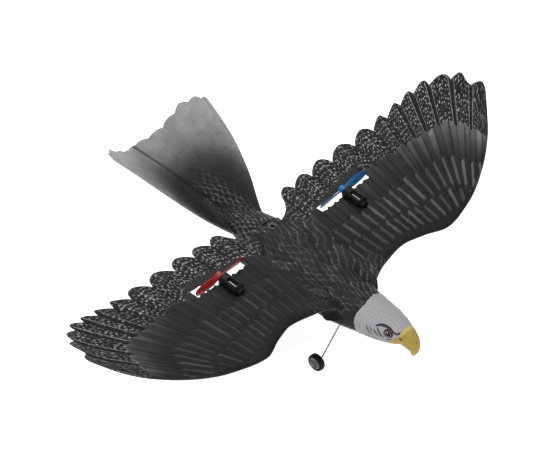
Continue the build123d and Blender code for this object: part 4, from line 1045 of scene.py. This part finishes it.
def build_eye(side):
    """A glossy domed eye set into the side of the head."""
    y, z = EYE
    w, h, c = (float(f(np.array(y))) for f in (head_w, head_h, head_z))
    x = w * math.sqrt(max(0.0, 1 - ((z - c) / h) ** 2))
    normal = Vector((x / w ** 2, -0.016, (z - c) / h ** 2)).normalized()
    back = Vector((0, 1, 0))
    across = (back - normal * back.dot(normal)).normalized()
    rise_axis = normal.cross(across)
    if rise_axis.z < 0:
        rise_axis = -rise_axis
    verts, radii, glints = [], [], []
    for i in range(EYE_RINGS + 1):
        r = i / EYE_RINGS
        for j in range(EYE_COLUMNS):
            a = 2 * math.pi * j / EYE_COLUMNS
            px, pz = r * EYE_RADIUS * math.cos(a), r * EYE_RADIUS * math.sin(a)
            bulge = EYE_BULGE * math.sqrt(max(0.0, 1 - (r * 0.97) ** 2)) - EYE_SINK
            p = Vector((x, y, z)) + across * px + rise_axis * pz + normal * bulge
            verts.append((side * p.x, p.y, p.z))
            radii.append(r)
            glints.append(1.0 if math.hypot(px - GLINT[0], pz - GLINT[1]) < GLINT_RADIUS else 0.0)
    faces = grid_faces(EYE_RINGS + 1, EYE_COLUMNS, wrap=True, flip=side > 0)
    name = "left_eye" if side > 0 else "right_eye"
    attributes = {"radius": radii, "glint": glints}
    return make_piece(name, verts, faces, "airframe", EYE_PAINT, attributes)


# ---------------------------------------------------------------- beak
BEAK_ROWS, BEAK_COLUMNS = 110, 120
# Stations from the head to the hook: ridge y and z, keel y and z, and half width.
BEAK_SECTIONS = [
    (-202.5, 104.9, -190.5, 80.5, 13.0),
    (-207.5, 105.2, -195.5, 78.6, 11.6),
    (-213.5, 101.8, -201.0, 77.4, 9.6),
    (-218.4, 94.5, -206.0, 76.4, 7.8),
    (-219.8, 86.0, -209.6, 74.8, 6.2),
    (-217.8, 76.5, -211.2, 72.6, 4.9),
    (-214.8, 71.0, -211.9, 70.6, 3.2),
]


def build_beak():
    """The hooked beak, with a swollen cere, nostrils and a mouth line."""
    t = np.linspace(0, 1, BEAK_ROWS)
    at = np.linspace(0, 1, len(BEAK_SECTIONS))
    ry, rz, ky, kz, w = (smooth_curve(list(zip(at, column)))(t)[:, None] for column in zip(*BEAK_SECTIONS))
    turn = full_turn(BEAK_COLUMNS)[None, :]
    up = (np.cos(turn) + 1) / 2
    shape = np.sign(np.sin(turn)) * np.abs(np.sin(turn)) ** 0.9
    x = shape * w * (0.86 - 0.14 * np.cos(turn))
    y = ky + (ry - ky) * up
    z = kz + (rz - kz) * up
    side = np.abs(np.sin(turn)) > 0.25
    tt = t[:, None] + 0 * turn
    mouth = np.exp(-((up - 0.20 - 0.06 * tt) / 0.03) ** 2) * ease(0.62, 0.5, tt) * side
    nostril = np.exp(-((tt - 0.155) / 0.026) ** 2 - ((up - 0.62) / 0.035) ** 2) * side
    cere = ease(0.20, 0.10, tt) * ease(0.45, 0.75, up)
    lip = np.exp(-((tt - 0.18) / 0.02) ** 2) * ease(0.45, 0.75, up)
    relief = 0.5 * cere - 0.5 * mouth - 0.9 * nostril - 0.25 * lip
    x = x + np.sign(np.sin(turn)) * relief * np.abs(np.sin(turn))
    z = z + 0.4 * cere * np.cos(turn)
    verts, faces = tube(np.stack([x, y, z], -1), [0, -197.5, 91], [0, -213.3, 69.6], flip=True)
    # paler: the cere's paint, and along the top near the base a painted highlight on the ridge
    pale = np.clip(0.65 * cere + 0.35 * ease(0.7, 1.0, up) * ease(0.6, 0.2, tt), 0, 1)
    dark = np.clip(mouth * 0.75 + nostril * 1.4, 0, 1)
    attributes = {"pale": np.append(pale.ravel(), [0, 0]), "dark": np.append(dark.ravel(), [0, 0])}
    beak = make_piece("beak_shell", verts, faces, "airframe", BEAK_PAINT, attributes)
    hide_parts("beak")
    return beak


# ---------------------------------------------------------------- motor pods
POD_AXIS_Z = 112.0
POD_RADIUS = 7.1
POD_COLUMNS = 72
POD_Y = (-47.5, -21.3)
# Stations of the casing, as (distance from its end, size): a stepped foot, a straight middle and a rounded rear.
POD_FOOT = [(-3.4, 0.50), (-3.3, 0.56), (-2.8, 0.60), (-0.9, 0.62), (-0.2, 0.64), (0.2, 0.80), (0.6, 0.90),
            (1.4, 0.975)]
POD_REAR = [(-0.5, 0.985), (-0.15, 0.95), (0, 0.88)]
POD_WINDOW_X = (-4.0, 2.0)
POD_WINDOW_Y = (-45.2, -30.7)
WINDOW_FLOOR = 2.6
RIM_RADIUS = 1.05
RIM_HALF_WIDTH = 4.1
RIM_BEND = 1.9
RIM_STEPS, RIM_COLUMNS = 6, 12
# Painted highlight: a thin steel strip put in the pod's window where the motor shows a highlight, as x, y and z
# ranges and edge radius.
HIGHLIGHT_STRIP_X = (-2.3, -1.5)
HIGHLIGHT_STRIP_Y = (-6.0, 5.2)
HIGHLIGHT_STRIP_Z = (3.4, 5.4)
HIGHLIGHT_STRIP_ROUND = 0.3


def rounded_box(low, high, radius, cols=10):
    """Points and faces of a box with rounded edges, as a stretched ball."""
    low, high = np.array(low, float), np.array(high, float)
    middle, reach = (low + high) / 2, (high - low) / 2
    rows = 4 * cols
    a = np.linspace(-math.pi / 2, math.pi / 2, rows // 2 + 1)[:, None]
    b = full_turn(rows)[None, :]
    unit = np.stack([np.cos(a) * np.cos(b), np.cos(a) * np.sin(b), np.sin(a) + 0 * b], -1)
    corner = np.sign(np.round(unit, 6)) * np.maximum(reach - radius, 0)
    points = (middle + corner + unit * np.minimum(radius, reach)).reshape(-1, 3)
    return points, grid_faces(rows // 2 + 1, rows, wrap=True)


def window_rim(centre_x, centre_y):
    """A rounded bar swept round the pod's window, following the casing's curve."""
    bar, path = [], []
    half_length = (POD_WINDOW_Y[1] - POD_WINDOW_Y[0]) / 2 + 0.9
    side_shift = sum(POD_WINDOW_X) / 2
    for quarter in range(4):
        cx = (RIM_HALF_WIDTH - RIM_BEND) * (1 if quarter in (0, 3) else -1)
        cy = (half_length - RIM_BEND) * (1 if quarter in (0, 1) else -1)
        for step in range(RIM_STEPS + 1):
            angle = math.pi / 2 * (quarter + step / RIM_STEPS)
            nx, ny = math.cos(angle), math.sin(angle)
            path.append((cx + RIM_BEND * nx, cy + RIM_BEND * ny, nx, ny))
    for px, py, nx, ny in path:
        drop = POD_RADIUS - math.sqrt(POD_RADIUS ** 2 - (px + side_shift) ** 2)
        for j in range(RIM_COLUMNS):
            a = 2 * math.pi * j / RIM_COLUMNS
            out, lift = RIM_RADIUS * math.cos(a), RIM_RADIUS * math.sin(a)
            bar.append((centre_x + px + nx * out, centre_y + py + ny * out,
                        POD_AXIS_Z + POD_RADIUS - drop * 0.55 + 0.1 + lift))
    faces = [[v % len(bar) for v in f] for f in grid_faces(len(path) + 1, RIM_COLUMNS, wrap=True)]
    return bar, faces


def build_pod(side):
    """A motor pod: round casing that steps down to a foot, with a framed window over the motor and a steel strip in
    it that stands in for the motor's highlight.
    """
    x0 = side * SHAFT_X
    straight = np.linspace(POD_Y[0] + 2.5, POD_Y[1] - 1.2, 26)
    ys = np.array([POD_Y[0] + d for d, s in POD_FOOT] + list(straight) + [POD_Y[1] + d for d, s in POD_REAR])
    size = np.array([s for d, s in POD_FOOT] + [1.0] * len(straight) + [s for d, s in POD_REAR])[:, None]
    turn = full_turn(POD_COLUMNS)[None, :]
    square = lambda wave: np.abs(wave) ** 0.75 * np.sign(wave)
    x = x0 + square(np.sin(turn)) * POD_RADIUS * 0.97 * size
    z = POD_AXIS_Z + square(np.cos(turn)) * POD_RADIUS * size * np.where(size < 0.8, 0.8, 1.0)
    first, last = ([x0, end, POD_AXIS_Z] for end in (ys[0], ys[-1]))
    verts, faces = tube(np.stack([x, ys[:, None] + 0 * x, z], -1), first, last)
    name = "left" if side > 0 else "right"
    pod = make_piece(name + "_pod_case", verts, outward(verts, faces), "airframe", POD_BLACK)
    opening = [p[:2] for p in rectangle([x0 + wx for wx in POD_WINDOW_X], POD_WINDOW_Y, 0)]
    # the window's cut walls carry painted shade
    carve(pod, [prism_cutter("window_cutter", opening, POD_AXIS_Z + WINDOW_FLOOR, POD_AXIS_Z + 9)], RECESS_SHADE_FOAM)
    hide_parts(name + "_motor_pod", name + "_motor")
    middle_x, middle_y = x0 + sum(POD_WINDOW_X) / 2, sum(POD_WINDOW_Y) / 2
    bar, rim_faces = window_rim(middle_x, middle_y)
    make_piece(name + "_pod_rim", bar, outward(bar, rim_faces), "airframe", GLOSS_BLACK)
    # painted highlight: a steel strip standing in for the highlight on the motor
    corners = ((x0 + HIGHLIGHT_STRIP_X[i], middle_y + HIGHLIGHT_STRIP_Y[i], POD_AXIS_Z + HIGHLIGHT_STRIP_Z[i]) for i in (0, 1))
    strip, strip_faces = rounded_box(*corners, HIGHLIGHT_STRIP_ROUND)
    strip_faces = outward(strip, strip_faces)
    make_piece(name + "_motor_highlight_strip", strip, strip_faces, "airframe", SLOT_MATERIALS["steel"])


# ---------------------------------------------------------------- tyres
TYRE_INNER = 6.7
GROOVE_PITCH = 1.5
GROOVE_DEPTH = 0.16
TYRE_AROUND, TYRE_SECTION = 96, 40


def build_tyre(name):
    """A round-shouldered tyre with fine grooves round its tread, in place of the plain one."""
    low, high = (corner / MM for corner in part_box(name + "_tyre"))
    centre, outer, half = (low + high) / 2, (high.z - low.z) / 2, (high.x - low.x) / 2
    a, b = full_turn(TYRE_SECTION)[None, :], full_turn(TYRE_AROUND)[:, None]
    middle, deep = (outer + TYRE_INNER) / 2, (outer - TYRE_INNER) / 2
    radial = middle + np.sign(np.sin(a)) * np.abs(np.sin(a)) ** 0.9 * deep
    axial = np.sign(np.cos(a)) * np.abs(np.cos(a)) ** 0.85 * half
    groove = np.clip(np.sin(axial * 2 * math.pi / GROOVE_PITCH), 0, 1) ** 2 * ease(middle, outer, radial)
    r = radial - GROOVE_DEPTH * groove
    ring = np.stack([centre.x + axial + 0 * b, centre.y + r * np.cos(b), centre.z + r * np.sin(b)], -1)
    ring = ring.reshape(-1, 3)
    quads = [[v % len(ring) for v in f] for f in grid_faces(TYRE_AROUND + 1, TYRE_SECTION, wrap=True)]
    tyre = make_piece(name + "_tyre_rubber", ring, outward(ring, quads), name + "_wheel", TYRE_RUBBER)
    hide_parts(name + "_tyre")


# ---------------------------------------------------------------- build
NODE_SLOTS = {
    "carbon": ["left_spar", "right_spar"],
    "black_plastic": ["back_eyelet", "tail_socket", "spar_joiner", "left_motor_pod", "right_motor_pod",
                      "control_tray", "control_cover", "switch_body", "gear_block"],
    "steel": ["left_motor", "right_motor", "left_gear_leg", "right_gear_leg", "cover_screws",
              "left_motor_shaft", "right_motor_shaft", "charge_socket"],
    "red_plastic": ["right_propeller"],
    "blue_plastic": ["left_propeller"],
    "grey_plastic": ["left_wheel_hub", "right_wheel_hub", "left_axle_cap", "right_axle_cap", "switch_slider"],
    "tyre": ["left_tyre", "right_tyre"],
    "wire": ["left_motor_lead", "right_motor_lead", "battery_lead"],
    "board": ["circuit_board"],
    "cell": ["battery"],
    "lamp": ["status_lamp"],
    "charcoal_foam": ["left_wing", "right_wing", "back_shell", "belly_shell", "tail_fan"],
    "white_foam": ["head"],
    "beak_paint": ["beak"],
}
for slot_name, names in NODE_SLOTS.items():
    for node_name in names:
        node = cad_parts[node_name]
        node.data.materials.clear()
        node.data.materials.append(LEG_WIRE if "gear_leg" in node_name else SLOT_MATERIALS[slot_name])

build_wing(1)
build_wing(-1)
build_body()
build_tail()
build_head()
build_eye(1)
build_eye(-1)
build_beak()
build_pod(1)
build_pod(-1)
build_tyre("left")
build_tyre("right")

# ---------------------------------------------------------------- stage, in metres
CAMERA_TARGET = Vector((-1.52, -7.73, 117.5)) * MM
CAMERA_DISTANCE = 3940.5 * MM
CAMERA_AZIMUTH = math.radians(-44.72)
CAMERA_ELEVATION = math.radians(45.0)
LENS = 242.2
SENSOR = 36.0
FLOOR_SIZE = 40.0
FLOOR_GLOW = 0.72
SKY_LIGHT = 0.60
# Soft lights, as (name, place, disc size, watts).
LIGHTS = [("key_light", (-1.2, -0.3, 2.6), 2.2, 56), ("back_light", (0.8, 1.6, 2.4), 2.0, 30)]
LIT_PLACE = (0, 0, 0.1)


def floor_material():
    """Plain matt white that glows a little, so that it stays free of shadows."""
    n = Nodes("pale_floor")
    fine = n.noise(n.place(1), 40.0, 3.0)
    base = n.layer(n.step(fine, 0.3, 0.7), (0.93, 0.93, 0.93), (0.95, 0.95, 0.95))
    return n.finish(base, 0.9, n.bump(fine, 0.02, 0.2), Emission_Color=(1, 1, 1, 1),
                    Emission_Strength=FLOOR_GLOW)


def area_light(name, place, size, power):
    """A round soft light that faces the model."""
    light = bpy.data.lights.new(name, "AREA")
    light.shape, light.size, light.energy = "DISK", size, power
    obj = add_object(name, light)
    obj.location = place
    obj.rotation_euler = (Vector(LIT_PLACE) - Vector(place)).to_track_quat("-Z", "Y").to_euler()


floor_mesh = bpy.data.meshes.new("floor")
floor_mesh.from_pydata(rectangle(*[(-FLOOR_SIZE / 2, FLOOR_SIZE / 2)] * 2, 0), [], [(0, 1, 2, 3)])
floor_mesh.materials.append(floor_material())
floor = add_object("floor", floor_mesh)

world = bpy.data.worlds.new("studio")
bpy.context.scene.world = world
world.use_nodes = True
world.node_tree.nodes["Background"].inputs[0].default_value = (1, 1, 1, 1)
world.node_tree.nodes["Background"].inputs[1].default_value = SKY_LIGHT
for light_settings in LIGHTS:
    area_light(*light_settings)

camera_data = bpy.data.cameras.new("camera")
camera_data.lens, camera_data.sensor_width, camera_data.sensor_fit = LENS, SENSOR, "HORIZONTAL"
camera_data.dof.use_dof = False
camera = add_object("camera", camera_data)
level = math.cos(CAMERA_ELEVATION)
offset = Vector((math.sin(CAMERA_AZIMUTH) * level, -math.cos(CAMERA_AZIMUTH) * level,
                 math.sin(CAMERA_ELEVATION)))
camera.location = CAMERA_TARGET + offset * CAMERA_DISTANCE
camera.rotation_euler = (-offset).to_track_quat("-Z", "Y").to_euler()
bpy.context.scene.camera = camera
bpy.context.scene.view_settings.view_transform = "Standard"
